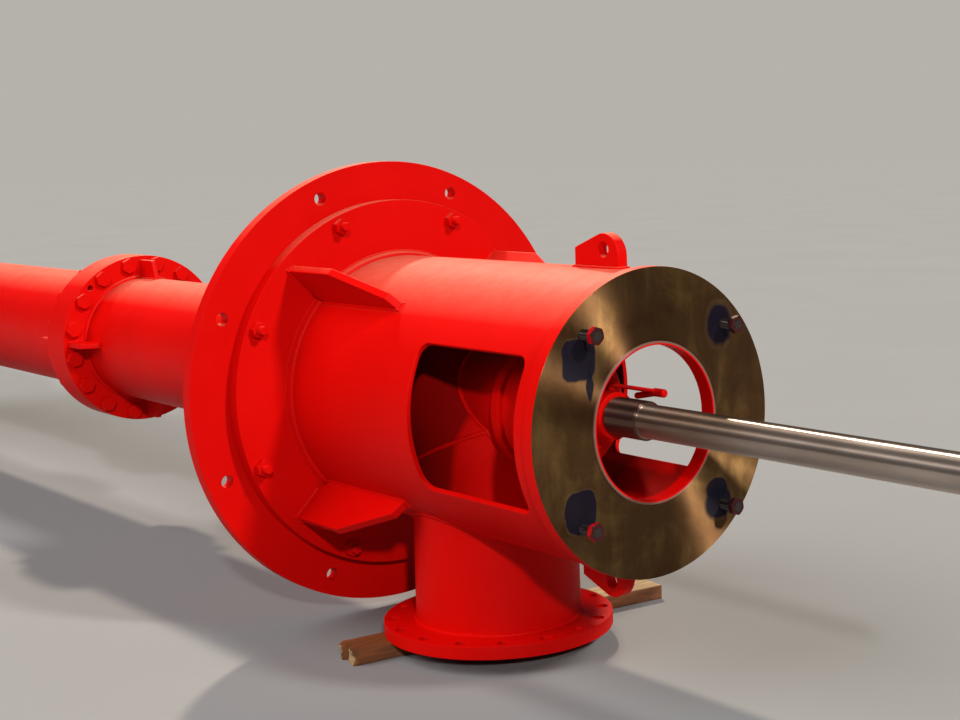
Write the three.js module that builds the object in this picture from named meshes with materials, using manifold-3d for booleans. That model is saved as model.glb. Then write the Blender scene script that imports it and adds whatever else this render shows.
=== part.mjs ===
// Vertical turbine pump, lying on timber bearers with its discharge flange down.
// Units are millimetres and +Z is up. The pump axis runs along X, and the free end of the shaft is at +X.
import * as THREE from "three";
import { mergeVertices } from "three/addons/utils/BufferGeometryUtils.js";
import Module from "manifold-3d";

const wasm = await Module();
wasm.setup();

// General
const SEAM_GAP = 0.3;
const SLEEVE_GAP = 0.9;
const RUNNING_CLEARANCE = 0.9;
const SHAFT_FOOT_CLEARANCE = 6;
const LARGE_SIDES = 60;
const PIPE_SIDES = 40;
const BOWL_SIDES = 32;
const SMALL_SIDES = 24;
const LUG_HOLE_SIDES = 16;
const HOLE_SIDES = 12;
const CORNER_STEPS = 5;
const ARC_STEPS = 10;
const FLARE_STEPS = 6;
const FAR_AWAY = 3000;

// Four places around the axis, in degrees from the far side towards the top
const QUARTERS = { far_upper: 45, near_upper: 135, near_lower: 225, far_lower: 315 };

// Pipe of the column, the elbow and the discharge: nominal 400 mm
const PIPE_RADIUS = 203.2;
const PIPE_WALL = 12.7;

// Sole plate and base flange of the discharge head. X = 0 is the top face of the sole plate.
const SOLE_RADIUS = 582.5;
const SOLE_THICKNESS = 38;
const SOLE_HOLE_CIRCLE_RADIUS = 530;
const SOLE_HOLE_RADIUS = 16;
const SOLE_HOLE_COUNT = 8;
const BASE_FLANGE_RADIUS = 480;
const BASE_FLANGE_THICKNESS = 42;
const COLLAR_RADIUS = 341;
const COLLAR_HEIGHT = 16;

// Barrel of the discharge head, its two windows and the machined flange for the motor
const BARREL_RADIUS = 333;
const BARREL_WALL = 12.5;
const HEAD_LENGTH = 1055;
const WINDOW_START = 577;
const WINDOW_END = 981;
const WINDOW_HALF_HEIGHT = 169;
const WINDOW_CORNER_RADIUS = 30;
const MOTOR_FLANGE_RADIUS = 341.5;
const MOTOR_FLANGE_THICKNESS = 34;
const MOTOR_FLANGE_BORE_RADIUS = 170;
const REGISTER_RADIUS = 178.5;
const REGISTER_HEIGHT = 4;
const MOTOR_STUD_CIRCLE_RADIUS = 290;
const MOTOR_STUD_TURN = -1.8;
const MOTOR_STUD_RADIUS = 12;
const MOTOR_STUD_LENGTH = 49;
const MOTOR_STUD_TIP = 1;
const MOTOR_NUT_WIDTH = 36;
const MOTOR_NUT_THICKNESS = 13;

// Gussets between the base flange and the barrel
const GUSSET_THICKNESS = 20;
const GUSSET_OUTER_RADIUS = 452;
const GUSSET_STRAIGHT_END = 235;
const GUSSET_SLOPE_END = 402;
const GUSSET_SLOPE_END_RADIUS = 374;
const GUSSET_END = 418;
const GUSSET_NOTCH = 34;

// Lifting lugs on the top and the bottom of the barrel
const LUG_THICKNESS = 28;
const LUG_START = 806;
const LUG_SHOULDER_HEIGHT = 378;
const LUG_HOLE_X = 907;
const LUG_HOLE_HEIGHT = 375;
const LUG_HOLE_RADIUS = 17;
const LUG_ARC_RADIUS = 52;
const LUG_ARC_HEIGHT = 360;
const LUG_ARC_END_DEGREES = 112;

// Discharge: a three-piece mitred elbow that turns from the axis straight down
const DISCHARGE_X = 452;
const DISCHARGE_FACE_DROP = 572;
const DISCHARGE_FLANGE_RADIUS = 282.5;
const DISCHARGE_FLANGE_THICKNESS = 32;
const DISCHARGE_BOLT_CIRCLE_RADIUS = 257.5;
const DISCHARGE_BOLT_COUNT = 16;
const DISCHARGE_BOLT_HOLE_RADIUS = 14;
const SEAM_ANGLES = { lower: 22.5, upper: 67.5 };
const ELBOW_REACH = 1000;

// Bearing neck, stuffing box and gland around the shaft
const NECK_RADIUS = 141;
const NECK_BORE_RADIUS = 60;
const NECK_START = 350;
const NECK_END = 662;
const HOUSING_FLANGE_RADIUS = 160;
const HOUSING_FLANGE_END = 690;
const HOUSING_BORE_RADIUS = 45;
const STUFFING_BOX_RADIUS = 150;
const STUFFING_BOX_SHOULDER = 775;
const STUFFING_BOX_SLOPE = 8;
const STUFFING_BOX_NECK_RADIUS = 88;
const STUFFING_BOX_END = 836;
const GLAND_FLANGE_RADIUS = 82;
const GLAND_FLANGE_END = 856;
const GLAND_SLEEVE_RADIUS = 54;
const GLAND_END = 925;

// Shaft: one line from the bowls to the free end
const SHAFT_RADIUS = 34;
const SHAFT_SLEEVE_RADIUS = 44;
const SHAFT_SLEEVE_START = 927;
const HEAD_SHAFT_RADIUS = 38;
const HEAD_SHAFT_START = 1030;
const HEAD_SHAFT_CHAMFER = 4;
const THREAD_RADIUS = 36;
const THREAD_START = 2130;
const SHAFT_END = 2250;
const SHAFT_FOOT_DEPTH = 285;
const KEYWAY_START = 1930;
const KEYWAY_END = 2090;
const KEYWAY_WIDTH = 18;
const KEYWAY_DEPTH = 8;

// Column: two lengths of pipe. At their joint a ring is bolted between two flanges with small stiffeners.
const COLUMN_FACE_X = -1557;
const COLUMN_JOINT_LENGTH = 140;
const COLUMN_FLANGE_RADIUS = 279;
const COLUMN_FLANGE_THICKNESS = 32;
const LOWER_COLUMN_LENGTH = 2000;
const STIFFENER_LENGTH = 123;
const STIFFENER_TOP_LENGTH = 94;
const STIFFENER_THICKNESS = 16;
const STIFFENER_EDGE = 14;
const STIFFENER_ROOT = 1;
const STIFFENER_ANGLES = [0, 90, 180, 270];

// Bowls and suction bell
const BOWL_FLANGE_RADIUS = 300;
const BOWL_FLANGE_THICKNESS = 28;
const BOWL_ROOT_RADIUS = 252;
const BOWL_BULGE_RADIUS = 290;
const BOWL_BULGE_START = 0.36;
const BOWL_BULGE_END = 0.62;
const BOWL_WAIST_RADIUS = 238;
const BOWL_WAIST_START = 0.8;
const BOWL_TOP_RADIUS = 216;
const DISCHARGE_BOWL_LENGTH = 430;
const PUMP_BOWL_LENGTH = 400;
const BELL_LENGTH = 330;
const BELL_THROAT_RADIUS = 208;
const BELL_THROAT_LENGTH = 132;
const BELL_MOUTH_RADIUS = 325;
const BELL_WALL = 16;
const BELL_HUB_RADIUS = 62;
const BELL_HUB_LENGTH = 176;
const BELL_VANE_THICKNESS = 14;
const BELL_VANE_LENGTH = 132;
const BELL_VANE_COUNT = 4;
const BELL_VANE_ROOT = 8;

// Timber bearers
const BEARER_HEIGHT = 38;
const BEARER_WIDTH = 97;
const BEARER_LENGTH = 912;
const BEARER_X = 375;
const BEARER_Y = 78;
const BEARER_SKEW_DEGREES = 6.2;
const BAULK_HEIGHT = 140;
const BAULK_WIDTH = 180;
const BAULK_LENGTH = 800;
const SADDLE_LENGTH = 520;
const SADDLE_WIDTH = 90;
const SADDLE_TOP_DROP = 232;

// Places worked out from the sizes above
const PIPE_BORE_RADIUS = PIPE_RADIUS - PIPE_WALL;
const AXIS_HEIGHT = DISCHARGE_FACE_DROP + BEARER_HEIGHT;
const JOINT_END = COLUMN_FACE_X - COLUMN_JOINT_LENGTH;
const LOWER_COLUMN_TOP = JOINT_END - SEAM_GAP;
const LOWER_COLUMN_END = LOWER_COLUMN_TOP - LOWER_COLUMN_LENGTH;
const DISCHARGE_BOWL_TOP = LOWER_COLUMN_END - COLUMN_FLANGE_THICKNESS - SEAM_GAP;
const PUMP_BOWL_TOP = DISCHARGE_BOWL_TOP - DISCHARGE_BOWL_LENGTH - SEAM_GAP;
const BELL_TOP = PUMP_BOWL_TOP - PUMP_BOWL_LENGTH - SEAM_GAP;
const BELL_END = BELL_TOP - BELL_LENGTH;
const SHAFT_FOOT = DISCHARGE_BOWL_TOP - SHAFT_FOOT_DEPTH;
const MIDDLE_X = (SHAFT_END + BELL_END) / 2;
const THROAT = { x: DISCHARGE_X - PIPE_RADIUS, z: -PIPE_RADIUS };

const radians = THREE.MathUtils.degToRad;

// Materials
const paint = () => new THREE.MeshStandardMaterial({ color: 0xd80a04, roughness: 0.3, metalness: 0.0 });
const machined = () => new THREE.MeshStandardMaterial({ color: 0x8a7a66, roughness: 0.35, metalness: 0.9 });
const steel = () => new THREE.MeshStandardMaterial({ color: 0xa9a39a, roughness: 0.25, metalness: 1.0 });
const timber = () => new THREE.MeshStandardMaterial({ color: 0x9a6a3c, roughness: 0.85, metalness: 0.0 });

// Solids
function solid(geometry) {
  const bare = geometry.clone();
  bare.deleteAttribute("normal");
  bare.deleteAttribute("uv");
  const merged = mergeVertices(bare, 1e-3);
  return new wasm.Manifold(
    new wasm.Mesh({
      numProp: 3,
      vertProperties: new Float32Array(merged.attributes.position.array),
      triVerts: new Uint32Array(merged.index.array),
    }),
  );
}

function geometryOf(body) {
  const mesh = body.getMesh();
  const geometry = new THREE.BufferGeometry();
  geometry.setAttribute("position", new THREE.BufferAttribute(new Float32Array(mesh.vertProperties), 3));
  geometry.setIndex(new THREE.BufferAttribute(new Uint32Array(mesh.triVerts), 1));
  geometry.computeVertexNormals();
  return geometry;
}

function cut(geometry, ...cutters) {
  let body = solid(geometry);
  for (const cutter of cutters) {
    body = body.subtract(solid(cutter));
  }
  return geometryOf(body);
}

function join(geometry, ...others) {
  let body = solid(geometry);
  for (const other of others) {
    body = body.add(solid(other));
  }
  return geometryOf(body);
}

function common(geometry, ...others) {
  let body = solid(geometry);
  for (const other of others) {
    body = body.intersect(solid(other));
  }
  return geometryOf(body);
}

// A ring of points, evenly spaced on a circle
function ringPoints(radius, count, centreX = 0, centreY = 0) {
  const points = [];
  for (let i = 0; i < count; i++) {
    const angle = (2 * Math.PI * (i + 0.5)) / count;
    points.push(new THREE.Vector2(centreX + radius * Math.cos(angle), centreY + radius * Math.sin(angle)));
  }
  return points;
}

// A body of revolution about X. The outline is a closed list of [x, radius] pairs.
function turned(outline, sides) {
  const points = outline.map(([x, radius]) => new THREE.Vector2(radius, x));
  const touchesAxis = outline[0][1] === 0;
  if (!touchesAxis) {
    points.push(points[0].clone());
  }
  const geometry = new THREE.LatheGeometry(points, sides);
  geometry.rotateZ(-Math.PI / 2);
  geometry.rotateX(Math.PI / sides);
  return geometry;
}

// A solid or hollow round bar along X
function bar(start, end, radius, sides) {
  return turned([[start, 0], [start, radius], [end, radius], [end, 0]], sides);
}

function tube(start, end, outer, inner, sides) {
  return turned([[start, inner], [start, outer], [end, outer], [end, inner]], sides);
}

// A flat ring across X with a circle of holes
function drilledRing(start, end, outer, inner, holeCircle, holeRadius, holeCount) {
  const shape = new THREE.Shape(ringPoints(outer, LARGE_SIDES));
  shape.holes.push(new THREE.Path(ringPoints(inner, PIPE_SIDES)));
  for (let i = 0; i < holeCount; i++) {
    const angle = (2 * Math.PI * (i + 0.5)) / holeCount;
    const x = holeCircle * Math.cos(angle);
    const y = holeCircle * Math.sin(angle);
    shape.holes.push(new THREE.Path(ringPoints(holeRadius, HOLE_SIDES, x, y)));
  }
  const geometry = new THREE.ExtrudeGeometry(shape, { depth: end - start, bevelEnabled: false });
  geometry.rotateY(Math.PI / 2);
  geometry.translate(start, 0, 0);
  return geometry;
}

// An outline in the X-Z plane, given a thickness centred on y = 0
function plateXZ(outline, thickness, holes = []) {
  const shape = new THREE.Shape(outline.map(([x, z]) => new THREE.Vector2(x, z)));
  for (const hole of holes) {
    shape.holes.push(new THREE.Path(hole));
  }
  const geometry = new THREE.ExtrudeGeometry(shape, { depth: thickness, bevelEnabled: false });
  geometry.rotateX(Math.PI / 2);
  geometry.translate(0, thickness / 2, 0);
  return geometry;
}

function arcPoints(centreX, centreY, radius, fromDegrees, toDegrees, steps) {
  const points = [];
  for (let i = 0; i <= steps; i++) {
    const angle = radians(fromDegrees + ((toDegrees - fromDegrees) * i) / steps);
    points.push([centreX + radius * Math.cos(angle), centreY + radius * Math.sin(angle)]);
  }
  return points;
}

// Everything on one side of a seam plane through the throat of the elbow, from a small distance off it
function besideSeam(seamDegrees, side, distance = SEAM_GAP / 2) {
  const along = new THREE.Vector2(Math.cos(radians(seamDegrees)), Math.sin(radians(seamDegrees)));
  const across = new THREE.Vector2(-along.y, along.x).multiplyScalar(side);
  const foot = new THREE.Vector2(THROAT.x, THROAT.z).addScaledVector(across, distance);
  const corner = (a, b) => {
    const point = foot.clone().addScaledVector(along, a).addScaledVector(across, b);
    return [point.x, point.y];
  };
  const outline = [
    corner(-FAR_AWAY, 0),
    corner(FAR_AWAY, 0),
    corner(FAR_AWAY, FAR_AWAY),
    corner(-FAR_AWAY, FAR_AWAY),
  ];
  return plateXZ(outline, 2 * DISCHARGE_FLANGE_RADIUS);
}

const root = new THREE.Group();
root.name = "vertical_turbine_pump";
const pump = new THREE.Group();
pump.position.set(-MIDDLE_X, 0, AXIS_HEIGHT);
root.add(pump);

function addPiece(name, geometry, material, parent = pump) {
  const mesh = new THREE.Mesh(geometry, material);
  mesh.name = name;
  parent.add(mesh);
  return mesh;
}

// Sole plate and base flange
function addBase() {
  addPiece(
    "sole_plate",
    drilledRing(
      -SOLE_THICKNESS,
      0,
      SOLE_RADIUS,
      PIPE_RADIUS + SLEEVE_GAP,
      SOLE_HOLE_CIRCLE_RADIUS,
      SOLE_HOLE_RADIUS,
      SOLE_HOLE_COUNT,
    ),
    paint(),
  );
  addPiece(
    "head_base_flange",
    tube(SEAM_GAP, BASE_FLANGE_THICKNESS, BASE_FLANGE_RADIUS, PIPE_RADIUS + SLEEVE_GAP, LARGE_SIDES),
    paint(),
  );
  const collarStart = BASE_FLANGE_THICKNESS + SEAM_GAP;
  const collarBore = BARREL_RADIUS + SLEEVE_GAP;
  addPiece(
    "base_collar",
    tube(collarStart, collarStart + COLLAR_HEIGHT, COLLAR_RADIUS, collarBore, LARGE_SIDES),
    paint(),
  );
}

// Barrel with a window on each side and a round hole below for the discharge
function addBarrel() {
  const start = BASE_FLANGE_THICKNESS + SEAM_GAP;
  const end = HEAD_LENGTH - MOTOR_FLANGE_THICKNESS - SEAM_GAP;
  const shell = tube(start, end, BARREL_RADIUS, BARREL_RADIUS - BARREL_WALL, LARGE_SIDES);
  const corners = [
    [WINDOW_END, WINDOW_HALF_HEIGHT, 0],
    [WINDOW_START, WINDOW_HALF_HEIGHT, 90],
    [WINDOW_START, -WINDOW_HALF_HEIGHT, 180],
    [WINDOW_END, -WINDOW_HALF_HEIGHT, 270],
  ];
  const outline = corners.flatMap(([x, z, from]) => {
    const centreX = x - Math.sign(x - (WINDOW_START + WINDOW_END) / 2) * WINDOW_CORNER_RADIUS;
    const centreZ = z - Math.sign(z) * WINDOW_CORNER_RADIUS;
    return arcPoints(centreX, centreZ, WINDOW_CORNER_RADIUS, from, from + 90, CORNER_STEPS);
  });
  const windows = plateXZ(outline, 3 * BARREL_RADIUS);
  const outlet = uprightBar(PIPE_RADIUS + SLEEVE_GAP, -FAR_AWAY, -BARREL_RADIUS / 2);
  addPiece("head_barrel", cut(shell, windows, outlet), paint());

  const bore = MOTOR_FLANGE_BORE_RADIUS;
  const top = HEAD_LENGTH;
  addPiece(
    "motor_flange",
    turned(
      [
        [top - MOTOR_FLANGE_THICKNESS, bore],
        [top - MOTOR_FLANGE_THICKNESS, MOTOR_FLANGE_RADIUS],
        [top, MOTOR_FLANGE_RADIUS],
        [top, REGISTER_RADIUS],
        [top + REGISTER_HEIGHT, REGISTER_RADIUS],
        [top + REGISTER_HEIGHT, bore],
      ],
      LARGE_SIDES,
    ),
    machined(),
  );
}

// Four studs that hold the motor, each with its nut at the end
function addMotorStuds() {
  const end = HEAD_LENGTH + MOTOR_STUD_LENGTH;
  const nutEnd = end - MOTOR_STUD_TIP;
  const thread = bar(HEAD_LENGTH + SEAM_GAP, end, MOTOR_STUD_RADIUS, HOLE_SIDES);
  const nut = bar(nutEnd - MOTOR_NUT_THICKNESS, nutEnd, MOTOR_NUT_WIDTH / Math.sqrt(3), 6);
  const stud = join(thread, nut);
  for (const [name, degrees] of Object.entries(QUARTERS)) {
    const mesh = addPiece("motor_stud_" + name, stud, steel());
    mesh.position.set(0, MOTOR_STUD_CIRCLE_RADIUS, 0);
    mesh.position.applyAxisAngle(new THREE.Vector3(1, 0, 0), radians(degrees + MOTOR_STUD_TURN));
  }
}

// Gusset plates, drawn in the X-Z plane and turned about the axis
function addGussets() {
  const start = BASE_FLANGE_THICKNESS + SEAM_GAP;
  const foot = BARREL_RADIUS + SEAM_GAP;
  const outline = [
    [start, foot + GUSSET_NOTCH],
    [start + GUSSET_NOTCH, foot],
    [GUSSET_END, foot],
    [GUSSET_SLOPE_END, GUSSET_SLOPE_END_RADIUS],
    [GUSSET_STRAIGHT_END, GUSSET_OUTER_RADIUS],
    [start, GUSSET_OUTER_RADIUS],
  ];
  for (const [name, degrees] of Object.entries(QUARTERS)) {
    const mesh = addPiece("gusset_" + name, plateXZ(outline, GUSSET_THICKNESS), paint());
    mesh.rotation.x = radians(degrees - 90);
  }
}

// Lifting lugs, the lower one a mirror of the upper one
function addLugs() {
  const foot = BARREL_RADIUS + SEAM_GAP;
  const arc = arcPoints(LUG_HOLE_X, LUG_ARC_HEIGHT, LUG_ARC_RADIUS, 0, LUG_ARC_END_DEGREES, ARC_STEPS);
  const outline = [
    [LUG_START, foot],
    [LUG_HOLE_X + LUG_ARC_RADIUS, foot],
    ...arc,
    [LUG_START, LUG_SHOULDER_HEIGHT],
  ];
  const hole = ringPoints(LUG_HOLE_RADIUS, LUG_HOLE_SIDES, LUG_HOLE_X, LUG_HOLE_HEIGHT);
  for (const [name, turn] of [["top", 0], ["bottom", Math.PI]]) {
    const mesh = addPiece("lifting_lug_" + name, plateXZ(outline, LUG_THICKNESS, [hole]), paint());
    mesh.rotation.x = turn;
  }
}

// The outer or inner surface of the middle elbow piece, as a long bar at 45 degrees
function slantedBar(radius) {
  const geometry = bar(-ELBOW_REACH, ELBOW_REACH, radius, PIPE_SIDES);
  geometry.rotateY(Math.PI / 4);
  const reach = PIPE_RADIUS * Math.SQRT1_2;
  geometry.translate(THROAT.x + reach, 0, THROAT.z + reach);
  return geometry;
}

function uprightBar(radius, bottom, top) {
  const geometry = bar(bottom, top, radius, PIPE_SIDES);
  geometry.rotateY(-Math.PI / 2);
  geometry.translate(DISCHARGE_X, 0, 0);
  return geometry;
}

// Elbow, discharge pipe and discharge flange
function addDischarge() {
  const { lower, upper } = SEAM_ANGLES;
  const shaftHole = bar(NECK_START, NECK_END, NECK_BORE_RADIUS, SMALL_SIDES);
  const inlet = tube(-SOLE_THICKNESS, ELBOW_REACH, PIPE_RADIUS, PIPE_BORE_RADIUS, PIPE_SIDES);
  addPiece("elbow_inlet", common(inlet, besideSeam(upper, 1)), paint());

  const heel = cut(slantedBar(PIPE_RADIUS), slantedBar(PIPE_BORE_RADIUS), shaftHole);
  addPiece("elbow_heel", common(heel, besideSeam(upper, -1), besideSeam(lower, 1)), paint());

  const pipeBottom = -DISCHARGE_FACE_DROP + DISCHARGE_FLANGE_THICKNESS + SEAM_GAP;
  const outside = uprightBar(PIPE_RADIUS, pipeBottom, ELBOW_REACH);
  const inside = uprightBar(PIPE_BORE_RADIUS, -ELBOW_REACH, 2 * ELBOW_REACH);
  const pipe = cut(outside, inside, shaftHole);
  addPiece("discharge_pipe", common(pipe, besideSeam(lower, -1)), paint());

  const flange = drilledRing(
    -DISCHARGE_FACE_DROP,
    -DISCHARGE_FACE_DROP + DISCHARGE_FLANGE_THICKNESS,
    DISCHARGE_FLANGE_RADIUS,
    PIPE_BORE_RADIUS,
    DISCHARGE_BOLT_CIRCLE_RADIUS,
    DISCHARGE_BOLT_HOLE_RADIUS,
    DISCHARGE_BOLT_COUNT,
  );
  flange.rotateY(-Math.PI / 2);
  flange.translate(DISCHARGE_X, 0, 0);
  addPiece("discharge_flange", flange, paint());
}

// Neck on the heel of the elbow, stuffing box and gland
function addStuffingBox() {
  const neck = tube(NECK_START, NECK_END, NECK_RADIUS, NECK_BORE_RADIUS, PIPE_SIDES);
  const pipe = uprightBar(PIPE_RADIUS + SEAM_GAP, -DISCHARGE_FACE_DROP, ELBOW_REACH);
  const saddle = join(
    common(slantedBar(PIPE_RADIUS + SEAM_GAP), besideSeam(SEAM_ANGLES.lower, 1, -SEAM_GAP)),
    common(pipe, besideSeam(SEAM_ANGLES.lower, -1, -SEAM_GAP)),
  );
  addPiece("bearing_neck", cut(neck, saddle), paint());
  addPiece(
    "housing_flange",
    tube(NECK_END + SEAM_GAP, HOUSING_FLANGE_END, HOUSING_FLANGE_RADIUS, HOUSING_BORE_RADIUS, PIPE_SIDES),
    paint(),
  );
  const boxStart = HOUSING_FLANGE_END + SEAM_GAP;
  addPiece(
    "stuffing_box",
    turned(
      [
        [boxStart, HOUSING_BORE_RADIUS],
        [boxStart, STUFFING_BOX_RADIUS],
        [STUFFING_BOX_SHOULDER, STUFFING_BOX_RADIUS],
        [STUFFING_BOX_SHOULDER + STUFFING_BOX_SLOPE, STUFFING_BOX_NECK_RADIUS],
        [STUFFING_BOX_END, STUFFING_BOX_NECK_RADIUS],
        [STUFFING_BOX_END, HOUSING_BORE_RADIUS],
      ],
      PIPE_SIDES,
    ),
    paint(),
  );
  const glandBore = SHAFT_RADIUS + RUNNING_CLEARANCE;
  addPiece(
    "gland",
    turned(
      [
        [STUFFING_BOX_END + SEAM_GAP, glandBore],
        [STUFFING_BOX_END + SEAM_GAP, GLAND_FLANGE_RADIUS],
        [GLAND_FLANGE_END, GLAND_FLANGE_RADIUS],
        [GLAND_FLANGE_END, GLAND_SLEEVE_RADIUS],
        [GLAND_END, GLAND_SLEEVE_RADIUS],
        [GLAND_END, glandBore],
      ],
      PIPE_SIDES,
    ),
    paint(),
  );
}

// Line shaft, sleeve and head shaft in one, with a keyway and a thread at the free end
function addShaft() {
  const shaft = turned(
    [
      [SHAFT_FOOT, 0],
      [SHAFT_FOOT, SHAFT_RADIUS],
      [SHAFT_SLEEVE_START, SHAFT_RADIUS],
      [SHAFT_SLEEVE_START, SHAFT_SLEEVE_RADIUS],
      [HEAD_SHAFT_START, SHAFT_SLEEVE_RADIUS],
      [HEAD_SHAFT_START, HEAD_SHAFT_RADIUS],
      [THREAD_START, HEAD_SHAFT_RADIUS],
      [THREAD_START, THREAD_RADIUS],
      [SHAFT_END - HEAD_SHAFT_CHAMFER, THREAD_RADIUS],
      [SHAFT_END, THREAD_RADIUS - HEAD_SHAFT_CHAMFER],
      [SHAFT_END, 0],
    ],
    PIPE_SIDES,
  );
  const keyway = new THREE.BoxGeometry(KEYWAY_END - KEYWAY_START, KEYWAY_WIDTH, 2 * KEYWAY_DEPTH);
  keyway.translate((KEYWAY_START + KEYWAY_END) / 2, 0, HEAD_SHAFT_RADIUS);
  addPiece("pump_shaft", cut(shaft, keyway), steel());
}

// A column flange with four small stiffeners on the side of its pipe. Its bolts fill its holes.
function columnFlange(start, side) {
  const end = start + COLUMN_FLANGE_THICKNESS;
  const ring = tube(start, end, COLUMN_FLANGE_RADIUS, PIPE_BORE_RADIUS, PIPE_SIDES);
  const face = side > 0 ? end - STIFFENER_ROOT : start + STIFFENER_ROOT;
  const foot = PIPE_RADIUS + SLEEVE_GAP;
  const rim = COLUMN_FLANGE_RADIUS - STIFFENER_EDGE;
  const outline = [
    [face, foot],
    [face + side * STIFFENER_LENGTH, foot],
    [face + side * STIFFENER_TOP_LENGTH, rim],
    [face, rim],
  ];
  const stiffeners = STIFFENER_ANGLES.map((degrees) => {
    const plate = plateXZ(outline, STIFFENER_THICKNESS);
    plate.rotateX(radians(degrees));
    return plate;
  });
  return join(ring, ...stiffeners);
}

// Two lengths of column pipe, their flanges and the ring between the flanges of their joint
function addColumn() {
  addPiece(
    "upper_column_pipe",
    tube(COLUMN_FACE_X + SEAM_GAP, -SOLE_THICKNESS - SEAM_GAP, PIPE_RADIUS, PIPE_BORE_RADIUS, PIPE_SIDES),
    paint(),
  );
  addPiece(
    "lower_column_pipe",
    tube(LOWER_COLUMN_END + SEAM_GAP, LOWER_COLUMN_TOP, PIPE_RADIUS, PIPE_BORE_RADIUS, PIPE_SIDES),
    paint(),
  );
  const upperFlange = COLUMN_FACE_X - COLUMN_FLANGE_THICKNESS;
  const ringStart = JOINT_END + COLUMN_FLANGE_THICKNESS + SEAM_GAP;
  const lowerFlange = LOWER_COLUMN_END - COLUMN_FLANGE_THICKNESS;
  addPiece("upper_column_flange", columnFlange(upperFlange, 1), paint());
  addPiece(
    "column_spacer_ring",
    tube(ringStart, upperFlange - SEAM_GAP, COLUMN_FLANGE_RADIUS, PIPE_BORE_RADIUS, PIPE_SIDES),
    paint(),
  );
  addPiece("middle_column_flange", columnFlange(JOINT_END, -1), paint());
  addPiece("lower_column_flange", columnFlange(lowerFlange, 1), paint());
}

// The lower part of a bowl's outline: its flange, then the swelling body
function bowlOutline(bottom, length) {
  return [
    [bottom, 0],
    [bottom, BOWL_FLANGE_RADIUS],
    [bottom + BOWL_FLANGE_THICKNESS, BOWL_FLANGE_RADIUS],
    [bottom + BOWL_FLANGE_THICKNESS, BOWL_ROOT_RADIUS],
    [bottom + BOWL_BULGE_START * length, BOWL_BULGE_RADIUS],
    [bottom + BOWL_BULGE_END * length, BOWL_BULGE_RADIUS],
  ];
}

// Discharge bowl, pump bowl and suction bell
function addBowls() {
  const bearingBore = SHAFT_RADIUS + RUNNING_CLEARANCE;
  const top = DISCHARGE_BOWL_TOP;
  const bottom = top - DISCHARGE_BOWL_LENGTH;
  addPiece(
    "discharge_bowl",
    turned(
      [
        ...bowlOutline(bottom, DISCHARGE_BOWL_LENGTH),
        [bottom + BOWL_WAIST_START * DISCHARGE_BOWL_LENGTH, BOWL_WAIST_RADIUS],
        [top - COLUMN_FLANGE_THICKNESS, BOWL_TOP_RADIUS],
        [top - COLUMN_FLANGE_THICKNESS, COLUMN_FLANGE_RADIUS],
        [top, COLUMN_FLANGE_RADIUS],
        [top, bearingBore],
        [SHAFT_FOOT - SHAFT_FOOT_CLEARANCE, bearingBore],
        [SHAFT_FOOT - SHAFT_FOOT_CLEARANCE, 0],
      ],
      BOWL_SIDES,
    ),
    paint(),
  );
  addPiece(
    "pump_bowl",
    turned(
      [
        ...bowlOutline(PUMP_BOWL_TOP - PUMP_BOWL_LENGTH, PUMP_BOWL_LENGTH),
        [PUMP_BOWL_TOP - BOWL_FLANGE_THICKNESS, BOWL_ROOT_RADIUS],
        [PUMP_BOWL_TOP - BOWL_FLANGE_THICKNESS, BOWL_FLANGE_RADIUS],
        [PUMP_BOWL_TOP, BOWL_FLANGE_RADIUS],
        [PUMP_BOWL_TOP, 0],
      ],
      BOWL_SIDES,
    ),
    paint(),
  );
  addPiece("suction_bell", suctionBell(), paint());
}

// Suction bell: a shell that flares along a quarter ellipse, with a bearing hub held by vanes
function suctionBell() {
  const flareStart = BELL_TOP - BELL_THROAT_LENGTH;
  const flareLength = BELL_LENGTH - BELL_THROAT_LENGTH - BELL_WALL;
  const flareHeight = BELL_MOUTH_RADIUS - BELL_THROAT_RADIUS;
  const flare = (step, wall) => {
    const angle = (Math.PI / 2) * (step / FLARE_STEPS);
    const x = flareStart - (flareLength + wall) * Math.sin(angle);
    return [x, BELL_MOUTH_RADIUS - (flareHeight + wall) * Math.cos(angle)];
  };
  const steps = Array.from({ length: FLARE_STEPS + 1 }, (_, i) => i);
  const shell = turned(
    [
      [BELL_TOP, BELL_THROAT_RADIUS - BELL_WALL],
      ...steps.map((step) => flare(step, BELL_WALL)),
      ...steps.reverse().map((step) => flare(step, 0)),
      [BELL_TOP - BOWL_FLANGE_THICKNESS, BELL_THROAT_RADIUS],
      [BELL_TOP - BOWL_FLANGE_THICKNESS, BOWL_FLANGE_RADIUS],
      [BELL_TOP, BOWL_FLANGE_RADIUS],
    ],
    BOWL_SIDES,
  );
  const vaneEnd = BELL_TOP - BOWL_FLANGE_THICKNESS;
  const hub = bar(BELL_TOP - BELL_HUB_LENGTH, vaneEnd, BELL_HUB_RADIUS, SMALL_SIDES);
  const vaneOutline = [
    [vaneEnd - BELL_VANE_LENGTH, BELL_HUB_RADIUS - BELL_VANE_ROOT],
    [vaneEnd, BELL_HUB_RADIUS - BELL_VANE_ROOT],
    [vaneEnd, BELL_THROAT_RADIUS - BELL_WALL + BELL_VANE_ROOT],
    [vaneEnd - BELL_VANE_LENGTH, BELL_THROAT_RADIUS - BELL_WALL + BELL_VANE_ROOT],
  ];
  const vanes = Array.from({ length: BELL_VANE_COUNT }, (_, i) => {
    const vane = plateXZ(vaneOutline, BELL_VANE_THICKNESS);
    vane.rotateX((2 * Math.PI * (i + 0.5)) / BELL_VANE_COUNT);
    return vane;
  });
  return join(shell, hub, ...vanes);
}

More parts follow.
